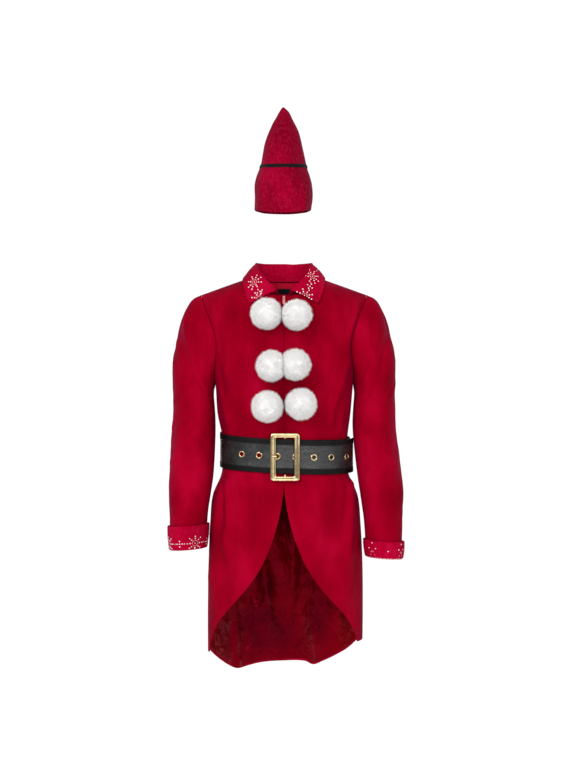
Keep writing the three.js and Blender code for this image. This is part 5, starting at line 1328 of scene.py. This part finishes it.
def make_eyelets(gold):
    face = BELT_THICK / 2 + EYELET_SEAT
    wide = EYELET_OUTER
    profile = [(EYELET_INNER + 0.6, -BELT_THICK / 2), (EYELET_INNER + 0.9, face), (wide - 0.3, face - 0.05),
               (wide, face + 0.25)]
    for k in range(9):
        turn = math.pi * k / 8
        middle = (wide + EYELET_INNER) / 2
        profile.append((middle + (wide - EYELET_INNER) / 2 * math.cos(turn),
                        face + 0.25 + EYELET_RISE * math.sin(turn)))
    profile += [(EYELET_INNER, face - 0.5), (EYELET_INNER, -BELT_THICK / 2)]
    for i, station in enumerate(eyelet_stations()):
        piece = join_meshes(f"eyelet_{i + 1}_ring", [lathe_at(station, profile, 36)])
        fix_normals(piece)
        dress(piece, gold, f"eyelet_{i + 1}")


def buckle_depth():
    at, _, _ = strap_station(WAIST_LENGTH + BUCKLE_X)
    back = at[1] - BELT_THICK / 2 - EYELET_SEAT - EYELET_RISE - 0.4
    return float(back), float(back - BUCKLE_THICK)


def rounded_path(half_x, half_z, radius, steps=8):
    points = []
    corners = [(1, -1, -90), (1, 1, 0), (-1, 1, 90), (-1, -1, 180)]
    for sx, sz, start in corners:
        for k in range(steps + 1):
            turn = math.radians(start + 90 * k / steps)
            points.append((sx * (half_x - radius) + radius * math.cos(turn),
                           sz * (half_z - radius) + radius * math.sin(turn)))
    return points


def make_buckle(gold):
    """The frame as a moulding: rolled outside, a flat slope inwards and a raised inner rim."""
    back, _ = buckle_depth()
    bar, rail = BUCKLE_BAR, BUCKLE_RAIL
    # Share of the bar's width from outside to inside, and share of the thickness
    moulding = [
        (0.0, 0.0), (0.0, 0.45), (0.04, 0.72), (0.12, 0.9), (0.22, 1.0), (0.32, 0.98), (0.62, 0.72),
        (0.66, 0.7), (0.7, 0.8), (0.76, 0.9), (0.84, 0.9), (0.92, 0.8), (0.98, 0.6), (1.0, 0.35),
        (1.0, 0.0),
    ]
    rings = []
    for share, rise in moulding:
        half_x = BUCKLE_WIDTH / 2 - bar * share
        half_z = BUCKLE_HEIGHT / 2 - rail * share
        radius = BUCKLE_RADIUS - (BUCKLE_RADIUS - 3) * share
        rings.append([(BUCKLE_X + px, back - BUCKLE_THICK * rise, BUCKLE_Z + pz)
                      for px, pz in rounded_path(half_x, half_z, radius)])
    grid = np.array(rings)
    parts = [(grid.reshape(-1, 3), ring_faces(*grid.shape[:2]))]
    bar_back = float(on_waist(BUCKLE_X, BAR_SEAT)[0][1])
    bar_front = bar_back - BAR_THICK
    top = BUCKLE_HEIGHT / 2 - rail + 5
    strap_top = BELT_HEIGHT / 2 + BELT_Z - BELT_FRONT_DROP - BUCKLE_Z + 1.2
    strap_low = -BELT_HEIGHT / 2 + BELT_Z - BELT_FRONT_DROP - BUCKLE_Z - 1.2
    parts.append(rod((BUCKLE_X, (bar_back + bar_front) / 2), BAR_HALF, BAR_THICK / 2, -top, top))
    for low, high in ((strap_top, top), (-top, strap_low)):
        middle = (back - 2 + bar_front + 1) / 2
        parts.append(rod((BUCKLE_X, middle), BAR_HALF, (bar_front + 1 - back + 2) / 2, low, high))
    piece = join_meshes("buckle_moulding", parts)
    fix_normals(piece)
    return dress(piece, gold, "buckle_frame")


def rod(centre, half_x, half_y, low, high):
    """An upright bar with rounded long edges."""
    outline = rounded_path(half_x, half_y, min(half_x, half_y) * 0.7, 4)
    points = [(centre[0] + px, centre[1] + py, BUCKLE_Z + z) for z in (low, high) for px, py in outline]
    return np.array(points), prism_faces(len(outline))


def tube_along(path, half_wide, half_thick, sides=12):
    """A flattened rod along a path in a level plane, with rounded ends."""
    path = np.asarray(path, float)
    way = np.gradient(path, axis=0)
    way /= np.linalg.norm(way, axis=1, keepdims=True)
    up = np.array([0, 0, 1.0])
    out = np.cross(way, up)
    turn = 2 * np.pi * np.arange(sides) / sides
    points = []
    for k, at in enumerate(path):
        taper = 0.45 if k in (0, len(path) - 1) else 1.0
        ring = np.outer(np.cos(turn) * half_wide * taper, up)
        ring += np.outer(np.sin(turn) * half_thick * taper, out[k])
        points.append(at + ring)
    rows = len(path)
    faces = grid_faces(rows, sides, around=True)
    faces += [list(range(sides)), list(range((rows - 1) * sides, rows * sides))[::-1]]
    return np.concatenate(points), faces


PRONG_THICK = 1.8
PRONG_HALF_WIDTH = 2.0
PRONG_EYELET = 2


def make_prong(gold):
    """The prong, from the bar through its eyelet and over the frame's edge."""
    _, front = buckle_depth()
    at, _, height = strap_station(WAIST_LENGTH + EYELET_FIRST + EYELET_PITCH * PRONG_EYELET)
    behind = float(on_waist(BUCKLE_X, BAR_SEAT)[0][1]) - BAR_THICK / 2
    over = front - 0.4 - PRONG_THICK / 2
    knots = np.array([
        (BUCKLE_X - BAR_HALF - 0.4, behind), (at[0] + 3.2, behind - 0.4), (at[0] + 1.0, at[1] - 2.6),
        (at[0] - 0.6, over + 1.6), (at[0] - 3.6, over), (at[0] - 13.5, over + 0.1),
    ])
    fine = np.linspace(0, len(knots) - 1, 40)
    keys = np.arange(len(knots))
    path = np.stack([hermite(keys, knots[:, 0], fine), hermite(keys, knots[:, 1], fine),
                     np.full(len(fine), float(height))], -1)
    piece = join_meshes("buckle_prong_rod", [tube_along(path, PRONG_HALF_WIDTH, PRONG_THICK / 2)])
    fix_normals(piece)
    return dress(piece, gold, "buckle_prong")


# Hat: a front and a back panel with a thin band

HAT = np.array([
    # height, right half width, left half width, depth
    (433, 5, 1, 6), (422, 12, 12.5, 15), (407, 20, 20, 26), (392, 29, 27.5, 36), (377, 35.5, 35, 45),
    (362, 42, 40, 53), (340, 49, 45, 62), (318, 53, 50, 70), (289.5, 58, 56, 78), (281, 61, 58, 81),
    (262, 68.5, 64.5, 88), (240, 73.5, 70, 93), (210, 73, 72, 96), (178, 74, 68, 97),
])
HAT_SQUARE = 2.1
HAT_FRONT_DROP = 18
HAT_BAND_Z = 285
HAT_BAND_TILT = 9
HAT_BAND_LOW = 281
HAT_BAND_TOP = 289.5
HAT_FOLDS = {
    "front": [(-16, 262, 32, 182, 7, -4), (46, 238, 50, 176, 8, 4), (-44, 236, -40, 178, 9, -3)],
    "back": [(26, 258, -20, 186, 9, -4), (-46, 240, -50, 182, 9, 4)],
}
HAT_CREASES = {
    "front": [
        (-50, 294, 46, 292, 1.8, -1.4), (-46, 299, 40, 297.5, 2.2, 1.2), (12, 284, 20, 262, 3, -2.2),
        (-52, 262, -58, 200, 8, 2), (22, 262, 50, 214, 4, 2.5),
        (54, 250, 60, 190, 5, 3), (38, 240, 42, 180, 4, -2), (-20, 240, 0, 176, 7, -1.5),
        (-30, 330, -34, 300, 6, 1.5), (26, 350, 30, 300, 5, -1.6), (-14, 284, -36, 250, 5, 1.6),
    ],
    "back": [(40, 260, 52, 196, 6, 2), (-10, 284, -18, 240, 5, -2), (6, 240, 14, 180, 7, 1.8)],
}


def hat_sheet(side, rows, columns):
    """Grid of one hat panel, rows from the tip down, columns from the wearer's right to the left."""
    level = 433 + (178 - 433) * edge_steps(rows, 0.003)[:, None]
    share = 2 * edge_steps(columns, 0.001)[None, :] - 1
    turn = np.pi / 2 * share
    power = 2 / HAT_SQUARE
    right, left = hermite(HAT[:, 0], HAT[:, 1], level), hermite(HAT[:, 0], HAT[:, 2], level)
    depth = hermite(HAT[:, 0], HAT[:, 3], level)
    x = (left - right) / 2 + (left + right) / 2 * np.sign(turn) * np.abs(np.sin(turn)) ** power
    forward = -1 if side == "front" else 1
    bow = np.maximum(0, np.cos(turn))
    y = forward * (depth * bow**power + SEAM_HALF)
    low = smooth((HAT_BAND_Z - level) / (HAT_BAND_Z - 178))
    tilt = HAT_BAND_TILT * smooth((433 - level) / (433 - HAT_BAND_Z))
    drop = tilt + (HAT_FRONT_DROP - HAT_BAND_TILT) * low if side == "front" else -tilt * (1 - low)
    z = level - drop * bow**1.2
    points = np.stack([x, y, z], -1)
    middle = np.stack([(left - right) / 2 + 0 * x, 0 * x, z], -1)
    normals = facing(normals_of(points), points, middle)
    seam = np.abs(share) > 0.999
    normals[..., 1] = np.where(seam, 0, normals[..., 1])
    normals /= np.linalg.norm(normals, axis=-1, keepdims=True)
    room = np.minimum((right + left) / 2, depth)
    return points, normals, np.abs(share) + 0 * level, room + 0 * share


def hat_outer(side, rows=130, columns=72):
    points, normals, away, room = hat_sheet(side, rows, columns)
    x, z = points[..., 0], points[..., 2]
    height = np.zeros(x.shape)
    for x1, z1, x2, z2, width, rise in HAT_FOLDS[side]:
        dx, dz = x2 - x1, z2 - z1
        t = np.clip(((x - x1) * dx + (z - z1) * dz) / (dx * dx + dz * dz), 0, 1)
        off = np.hypot(x - x1 - t * dx, z - z1 - t * dz) / width
        height += rise * np.exp(-off * off) * smooth((274 - z) / 16)
    small = crease_height(HAT_CREASES[side], x, z) + 0.7 * soft_noise(points, 55, 61)
    height += small * smooth(np.abs(z - HAT_BAND_Z) / 14) * smooth((430 - z) / 50)
    return points + normals * (height * smooth((1 - away) / 0.2))[..., None], normals, room


def make_hat(velvet, band):
    for side in ("front", "back"):
        points, normals, room = hat_outer(side)
        thick = np.minimum(VELVET, room * 0.45)[..., None]
        rim = np.zeros(points.shape[:2])
        rim[-1, :] = 0.6
        outer = points - normals * rim[..., None]
        piece = shell(f"hat_{side}_velvet", outer, points - normals * (thick - 0.5 * rim[..., None]))
        dress(piece, velvet, f"hat_{side}")
    columns = 72
    rings = []
    for side in ("front", "back"):
        points, normals, _, _ = hat_sheet(side, 130, columns)
        level = points[:, 0, 2]
        line = []
        for height in np.linspace(HAT_BAND_TOP + 0.3, HAT_BAND_LOW, 9):
            j = int(np.argmin(np.abs(level - height)))
            k = j + 1 if level[j] > height else j - 1
            share = (height - level[j]) / (level[k] - level[j])
            line.append((points[j] + (points[k] - points[j]) * share, normals[j]))
        rings.append(line)
    face, out = [], []
    for (front, front_normal), (back, back_normal) in zip(*rings):
        face.append(np.concatenate([front, back[-2:0:-1]]))
        out.append(np.concatenate([front_normal, back_normal[-2:0:-1]]))
    face, out = np.array(face), np.array(out)
    bulge = 0.5 + 1.3 * np.sin(np.linspace(0.25, math.pi - 0.25, 9))[:, None, None]
    grid = np.concatenate([face + out * bulge, (face + out * 0.45)[::-1]])
    piece = closed_band("hat_band_tape", grid)
    fix_normals(piece)
    dress(piece, band, "hat_band")


# Neck label, zip and bead


def make_label(material):
    """A bare woven label, sewn to the back lining at its upper corners."""
    low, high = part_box("neck_label")
    width, height = (high[0] - low[0]) / MM, (high[2] - low[2]) / MM
    across = np.linspace(-1, 1, 22)[None, :] * width / 2
    down = np.linspace(0, 1, 16)[:, None] * height
    x = across + 0 * down + (low[0] + high[0]) / 2 / MM
    z = high[2] / MM - down + 0 * across
    behind = low[1] / MM + (high[1] - low[1]) / MM * 0.2
    flat = smooth(down / height) * ((high[1] - low[1]) / MM * 0.55)
    y = behind + flat - 0.35 * np.cos(across / width * np.pi) * smooth(down / height * 2)
    grid = np.stack([x, y, z], -1)
    piece = shell("neck_label_cloth", grid, grid + np.array([0, 0.7, 0]))
    fix_normals(piece)
    dress(piece, material, "neck_label")


ZIP_TOP = -48
ZIP_BOTTOM = -471
ZIP_BEHIND = 2.3
ZIP_PITCH = 2.4
ZIP_TAPE_THICK = 0.9
ZIP_TOOTH = (1.7, 0.75, 0.8)


def centre_depth(z):
    return float(front_depth(0.0, z)) + SEAM_HALF


def make_zip(tape, teeth):
    """The tape, with its closed teeth as two rows of small blocks that interlock."""
    steps = np.linspace(ZIP_TOP, ZIP_BOTTOM, 120)
    across = np.array([-13, -9, -5, -2.6, 0, 2.6, 5, 9, 13], float)
    face = np.array([[(x, -centre_depth(z) + VELVET + ZIP_BEHIND + 0.9 * abs(x) / 13, z) for x in across]
                     for z in steps])
    piece = shell("zip_tape_cloth", face, face + np.array([0, ZIP_TAPE_THICK, 0]))
    fix_normals(piece)
    dress(piece, tape, "zip_tape")
    parts = []
    count = int((ZIP_TOP - ZIP_BOTTOM - 8) / ZIP_PITCH)
    for k in range(count):
        z = ZIP_TOP - 4 - k * ZIP_PITCH
        side = -1 if k % 2 else 1
        y = -centre_depth(z) + VELVET + ZIP_BEHIND
        parts.append(block((side * 0.8, y - 0.7, z), ZIP_TOOTH, 0.3))
    made = join_meshes("zip_teeth", parts, smooth_shade=False)
    made.data.materials.append(teeth)
    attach(made, GARMENT)


def block(centre, half, chamfer):
    """A block with its upright edges cut off."""
    hx, hy, hz = half
    outline = [(-hx + chamfer, -hy), (hx - chamfer, -hy), (hx, -hy + chamfer), (hx, hy), (-hx, hy),
               (-hx, -hy + chamfer)]
    points = [(centre[0] + x, centre[1] + y, centre[2] + z) for z in (-hz, hz) for x, y in outline]
    return np.array(points), prism_faces(len(outline))


BEAD_X = -1.5
BEAD_Z = -313
BEAD_RADIUS = 5
BEAD_RISE = 3.9
# A ring of the lathe can't close on its axis, so it stops just short of it
AXIS = 0.0001


def make_bead(material):
    """A flat-backed domed bead, turned round the way it faces."""
    profile = [(AXIS, 0.1), (4.0, 0.2)]
    for k in range(10):
        turn = math.radians(-10 + 100 * k / 9)
        profile.append((max(AXIS, BEAD_RADIUS * math.cos(turn)), 1.6 + BEAD_RISE * math.sin(turn)))
    station = (np.array([BEAD_X, -centre_depth(BEAD_Z) - 0.4]), np.array([0.0, -1.0]), BEAD_Z)
    piece = join_meshes("front_bead_glass", [lathe_at(station, profile, 28)])
    fix_normals(piece)
    dress(piece, material, "front_bead")


# Materials: every colour is a linear value


def node_material(name):
    material = bpy.data.materials.new(name)
    material.use_nodes = True
    tree = material.node_tree
    shader = tree.nodes["Principled BSDF"]
    where = tree.nodes.new("ShaderNodeTexCoord")
    return material, tree, shader, where.outputs["Object"]


def paint(tree, shader, colour, rough, gloss=None, tint=None):
    """Gives the shader its colour, roughness and gloss. Roughness is a number or a socket."""
    tree.links.new(colour, shader.inputs["Base Color"])
    if isinstance(rough, float):
        shader.inputs["Roughness"].default_value = rough
    else:
        tree.links.new(rough, shader.inputs["Roughness"])
    if gloss is not None:
        shader.inputs["Specular IOR Level"].default_value = gloss
    if tint is not None:
        shader.inputs["Specular Tint"].default_value = (*tint, 1)


def noise(tree, where, scale, detail=2.0, stretch=(1, 1, 1)):
    """Noise with this many waves to a metre, stretched along the axes."""
    mapping = tree.nodes.new("ShaderNodeMapping")
    mapping.inputs["Scale"].default_value = stretch
    tree.links.new(where, mapping.inputs["Vector"])
    texture = tree.nodes.new("ShaderNodeTexNoise")
    texture.inputs["Scale"].default_value = scale
    texture.inputs["Detail"].default_value = detail
    tree.links.new(mapping.outputs["Vector"], texture.inputs["Vector"])
    return texture.outputs["Fac"]


def ramp(tree, value, stops):
    made = tree.nodes.new("ShaderNodeValToRGB")
    elements = made.color_ramp.elements
    while len(elements) < len(stops):
        elements.new(0.5)
    for element, (place, colour) in zip(elements, stops):
        element.position = place
        element.color = (*colour, 1)
    tree.links.new(value, made.inputs["Fac"])
    return made.outputs["Color"]


def mix(tree, share, first, second, blend="MIX"):
    made = tree.nodes.new("ShaderNodeMix")
    made.data_type = "RGBA"
    made.blend_type = blend
    if isinstance(share, float):
        made.inputs[0].default_value = share
    else:
        tree.links.new(share, made.inputs[0])
    for socket, value in ((made.inputs[6], first), (made.inputs[7], second)):
        if isinstance(value, tuple):
            socket.default_value = (*value, 1)
        else:
            tree.links.new(value, socket)
    return made.outputs[2]


def bump(tree, shader, height, strength, distance):
    made = tree.nodes.new("ShaderNodeBump")
    made.inputs["Strength"].default_value = strength
    made.inputs["Distance"].default_value = distance
    tree.links.new(height, made.inputs["Height"])
    tree.links.new(made.outputs["Normal"], shader.inputs["Normal"])


def velvet_material(name, dark, middle, light, edge, crush_sheen=0.0):
    """Pile that shows paler where it is brushed up and deeper where it turns away."""
    material, tree, shader, where = node_material(name)
    nap = noise(tree, where, 13, 4, (1, 1, 0.55))
    colour = ramp(tree, nap, [(0.25, dark), (0.5, middle), (0.75, light)])
    pile = noise(tree, where, 1100, 2)
    grain = ramp(tree, pile, [(0.3, (0.8, 0.8, 0.8)), (0.7, (1.12, 1.12, 1.12))])
    colour = mix(tree, 1.0, colour, grain, "MULTIPLY")
    # Pale pink patches of crushed pile laid by noise: partly the pile's own tone, partly painted highlights
    # where it catches the light
    if crush_sheen:
        tufts = noise(tree, where, 170, 3, (1, 1, 0.7))
        spots = ramp(tree, tufts, [(0.46, (0, 0, 0)), (0.72, (crush_sheen,) * 3)])
        colour = mix(tree, spots, colour, (0.62, 0.04, 0.12))
    weight = tree.nodes.new("ShaderNodeLayerWeight")
    weight.inputs["Blend"].default_value = 0.3
    turned = ramp(tree, weight.outputs["Facing"], [(0.25, (0, 0, 0)), (1.0, (0.85, 0.85, 0.85))])
    colour = mix(tree, turned, colour, edge)
    paint(tree, shader, colour, 0.75, 0.04, (1.0, 0.0, 0.1))
    shader.inputs["Sheen Weight"].default_value = 0.12
    shader.inputs["Sheen Roughness"].default_value = 0.4
    shader.inputs["Sheen Tint"].default_value = (1.0, 0.0, 0.14, 1)
    rub = noise(tree, where, 46, 3, (1, 1, 0.5))
    bump(tree, shader, mix(tree, 0.6, pile, rub), 0.4, 0.0012)
    return material


def satin_material(name, dark, middle, light, gleam, crease):
    """Shiny satin with soft creases that catch the light."""
    material, tree, shader, where = node_material(name)
    # Pale and dark patches laid by noise over the satin's colour: painted highlights and shade of its gleam
    gleam_and_shade = noise(tree, where, 9, 3, (1, 1, 0.7))
    colour = ramp(tree, gleam_and_shade, [(0.3, dark), (0.52, middle), (0.72, light)])
    paint(tree, shader, colour, 0.3, gleam, (1.0, 0.01, 0.08))
    creases = noise(tree, where, 17, 3, (1.4, 1, 1))
    bump(tree, shader, creases, 0.6, crease)
    return material


def leather_material(name, dark, light, rough, gloss):
    material, tree, shader, where = node_material(name)
    cells = tree.nodes.new("ShaderNodeTexVoronoi")
    cells.inputs["Scale"].default_value = 520
    tree.links.new(where, cells.inputs["Vector"])
    patch = noise(tree, where, 30, 3)
    colour = ramp(tree, patch, [(0.3, dark), (0.7, light)])
    rub = ramp(tree, noise(tree, where, 60, 3), [(0.3, (rough - 0.08,) * 3), (0.7, (rough + 0.1,) * 3)])
    paint(tree, shader, colour, rub, gloss)
    wrinkles = noise(tree, where, 38, 4, (0.5, 0.5, 2.2))
    bump(tree, shader, mix(tree, 0.25, wrinkles, cells.outputs["Distance"]), 0.45, 0.004)
    return material


def metal_material(name, dark, light, rough):
    material, tree, shader, where = node_material(name)
    tarnish = noise(tree, where, 45, 4)
    colour = ramp(tree, tarnish, [(0.3, dark), (0.7, light)])
    wear = ramp(tree, noise(tree, where, 160, 4), [(0.3, (rough - 0.03,) * 3), (0.7, (rough + 0.06,) * 3)])
    paint(tree, shader, colour, wear)
    shader.inputs["Metallic"].default_value = 1.0
    bump(tree, shader, noise(tree, where, 300, 2), 0.03, 0.0003)
    return material


def fur_material():
    material, tree, shader, where = node_material("white_pile")
    tuft = noise(tree, where, 120, 3)
    colour = ramp(tree, tuft, [(0.3, (0.97, 0.95, 0.93)), (0.6, (1.0, 0.99, 0.98))])
    paint(tree, shader, colour, 0.9, 0.2)
    shader.inputs["Sheen Weight"].default_value = 0.8
    bump(tree, shader, noise(tree, where, 1500, 1), 0.3, 0.0004)
    return material


def woven_material(name, dark, light, scale, rough=0.7):
    material, tree, shader, where = node_material(name)
    heights = []
    for direction in ("X", "Z"):
        wave = tree.nodes.new("ShaderNodeTexWave")
        wave.bands_direction = direction
        wave.inputs["Scale"].default_value = scale
        wave.inputs["Distortion"].default_value = 0.6
        tree.links.new(where, wave.inputs["Vector"])
        heights.append(wave.outputs["Fac"])
    weave = tree.nodes.new("ShaderNodeMath")
    weave.operation = "MULTIPLY"
    tree.links.new(heights[0], weave.inputs[0])
    tree.links.new(heights[1], weave.inputs[1])
    paint(tree, shader, ramp(tree, weave.outputs[0], [(0.0, dark), (1.0, light)]), rough, 0.12)
    bump(tree, shader, weave.outputs[0], 0.4, 0.0003)
    return material


def plain_gloss(name, dark, light, rough, coat=0.0):
    material, tree, shader, where = node_material(name)
    patch = noise(tree, where, 300, 2)
    paint(tree, shader, ramp(tree, patch, [(0.3, dark), (0.7, light)]), rough)
    shader.inputs["Coat Weight"].default_value = coat
    bump(tree, shader, noise(tree, where, 900, 2), 0.06, 0.0002)
    return material


def dress(piece, material, node, body=GARMENT):
    """Gives a piece its material and the body that it rides on, and hides the frame's node that it stands
    for.
    """
    if not piece.data.materials:
        piece.data.materials.append(material)
    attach(piece, body)
    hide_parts(node)
    return piece


def carry_over(node, material):
    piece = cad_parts[node]
    piece.data.materials.clear()
    piece.data.materials.append(material)


# Stage, light and camera


FLOOR_Z = -1400
FLOOR_CORNERS = ((-3000, -4000), (3000, -4000), (3000, 450), (-3000, 450))


def make_stage():
    material, tree, shader, where = node_material("pale_floor")
    patch = noise(tree, where, 3, 2)
    colour = ramp(tree, patch, [(0.3, (0.94, 0.94, 0.94)), (0.7, (0.96, 0.96, 0.96))])
    paint(tree, shader, colour, 0.9)
    points = [(x, y, FLOOR_Z) for x, y in FLOOR_CORNERS]
    floor = new_mesh("floor", np.array(points, float), [[0, 1, 2, 3]], False)
    floor.data.materials.append(material)


LIGHT_TARGET = (0, 0, -0.3)
# Name, place and edge of a square light in metres, and its power in watts
LIGHTS = (
    ("key", (-1.5, -2.6, 1.3), 1.5, 62),
    ("fill", (1.9, -2.4, 0.2), 1.5, 24),
    ("front", (0.1, -3.4, 0.25), 1.0, 30),
)


def area_light(name, place, size, power):
    light = bpy.data.lights.new(name, "AREA")
    light.shape = "SQUARE"
    light.size = size
    light.energy = power
    lamp = bpy.data.objects.new(name, light)
    bpy.context.scene.collection.objects.link(lamp)
    lamp.location = place
    way = Vector(LIGHT_TARGET) - Vector(place)
    lamp.rotation_mode = "QUATERNION"
    lamp.rotation_quaternion = way.to_track_quat("-Z", "Y")


MM_PER_PIXEL = 2.5
IMAGE_HEIGHT = 768
CAMERA_DISTANCE = 3500
SENSOR_WIDTH = 36
CAMERA_X = 10
CAMERA_Z = -257.5


def make_camera():
    camera = bpy.data.cameras.new("camera")
    camera.sensor_width = SENSOR_WIDTH
    camera.lens = SENSOR_WIDTH * CAMERA_DISTANCE / (IMAGE_HEIGHT * MM_PER_PIXEL)
    holder = bpy.data.objects.new("camera", camera)
    bpy.context.scene.collection.objects.link(holder)
    holder.location = (CAMERA_X * MM, -CAMERA_DISTANCE * MM, CAMERA_Z * MM)
    holder.rotation_euler = (math.pi / 2, 0, 0)
    bpy.context.scene.camera = holder


def make_lights():
    world = bpy.data.worlds.new("soft_room")
    world.use_nodes = True
    tree = world.node_tree
    background = tree.nodes["Background"]
    where = tree.nodes.new("ShaderNodeTexCoord")
    parts = tree.nodes.new("ShaderNodeSeparateXYZ")
    tree.links.new(where.outputs["Generated"], parts.inputs["Vector"])
    room = ramp(tree, parts.outputs["Y"], [(0.0, (0.36, 0.36, 0.37)), (0.4, (1, 1, 1))])
    tree.links.new(room, background.inputs["Color"])
    background.inputs["Strength"].default_value = 1.04
    bpy.context.scene.world = world
    for light in LIGHTS:
        area_light(*light)
    bpy.context.scene.view_settings.view_transform = "Standard"


make_camera()
make_lights()
make_stage()

velvet = velvet_material("crimson_velvet", (0.17, 0.0, 0.006), (0.265, 0.0, 0.011), (0.37, 0.001, 0.022),
                         (0.1, 0.0, 0.022))
# A darker copy of the crimson velvet for the hat: painted shade, with pale crushed patches that are partly
# painted highlight
shaded_hat_velvet = velvet_material("shaded_hat_velvet", (0.14, 0.0, 0.008), (0.225, 0.0, 0.013), (0.34, 0.001, 0.025),
                             (0.08, 0.0, 0.012), 0.13)
# A paler copy of the crimson velvet for the printed collar and cuffs: painted light, with pale crushed
# patches that are partly painted highlight
lit_print_velvet = velvet_material("printed_velvet", (0.25, 0.0, 0.012), (0.35, 0.0, 0.02), (0.46, 0.002, 0.035),
                               (0.12, 0.0, 0.02), 0.1)
satin = satin_material("red_satin", (0.035, 0.0, 0.002), (0.115, 0.0, 0.002), (0.21, 0.0, 0.003), 0.6, 0.02)
# A far paler copy of the red satin for the back lining at the neck: painted light
lit_neck_satin = satin_material("lit_neck_satin", (0.75, 0.003, 0.03), (0.9, 0.008, 0.05), (1.0, 0.03, 0.09),
                            0.7, 0.006)
gold = metal_material("gold_plate", (0.5, 0.38, 0.2), (0.72, 0.57, 0.32), 0.14)
zip_metal = metal_material("zip_brass", (0.26, 0.09, 0.08), (0.42, 0.16, 0.14), 0.42)
panel_leather = leather_material("belt_panel", (0.004, 0.0045, 0.0045), (0.016, 0.017, 0.017), 0.25, 0.5)
binding_leather = leather_material("belt_binding", (0.002, 0.002, 0.002), (0.005, 0.005, 0.005), 0.5, 0.12)
white_pile = fur_material()
black_weave = woven_material("label_weave", (0.006, 0.006, 0.007), (0.02, 0.02, 0.022), 900)
band_weave = woven_material("band_weave", (0.002, 0.002, 0.003), (0.008, 0.008, 0.01), 700, 0.7)
tape_weave = woven_material("zip_tape_weave", (0.12, 0.0, 0.008), (0.3, 0.004, 0.02), 800)
black_thread = plain_gloss("black_thread", (0.01, 0.01, 0.01), (0.035, 0.035, 0.035), 0.55)
bead_gloss = plain_gloss("bead_gloss", (0.01, 0.006, 0.006), (0.03, 0.02, 0.02), 0.12, 0.6)
white_paint = plain_gloss("white_dots", (0.96, 0.96, 0.97), (1.0, 1.0, 1.0), 0.6)

make_coat(velvet)
make_linings(satin, lit_neck_satin)
make_sleeves(velvet)
cuffs = make_cuffs(lit_print_velvet)
collar_face, collar_normals = make_collar(lit_print_velvet)
prints = make_prints(collar_face, collar_normals, cuffs, white_paint)
centres = pompom_centres()
for index in range(len(POMPOMS)):
    make_pompom(index, centres, white_pile)
make_belt(panel_leather, binding_leather)
make_stitches(black_thread)
make_eyelets(gold)
make_buckle(gold)
make_prong(gold)
make_hat(shaded_hat_velvet, band_weave)
make_label(black_weave)
make_zip(tape_weave, tape_weave)
make_bead(bead_gloss)
carry_over("zip_slider", zip_metal)
carry_over("zip_pull", zip_metal)
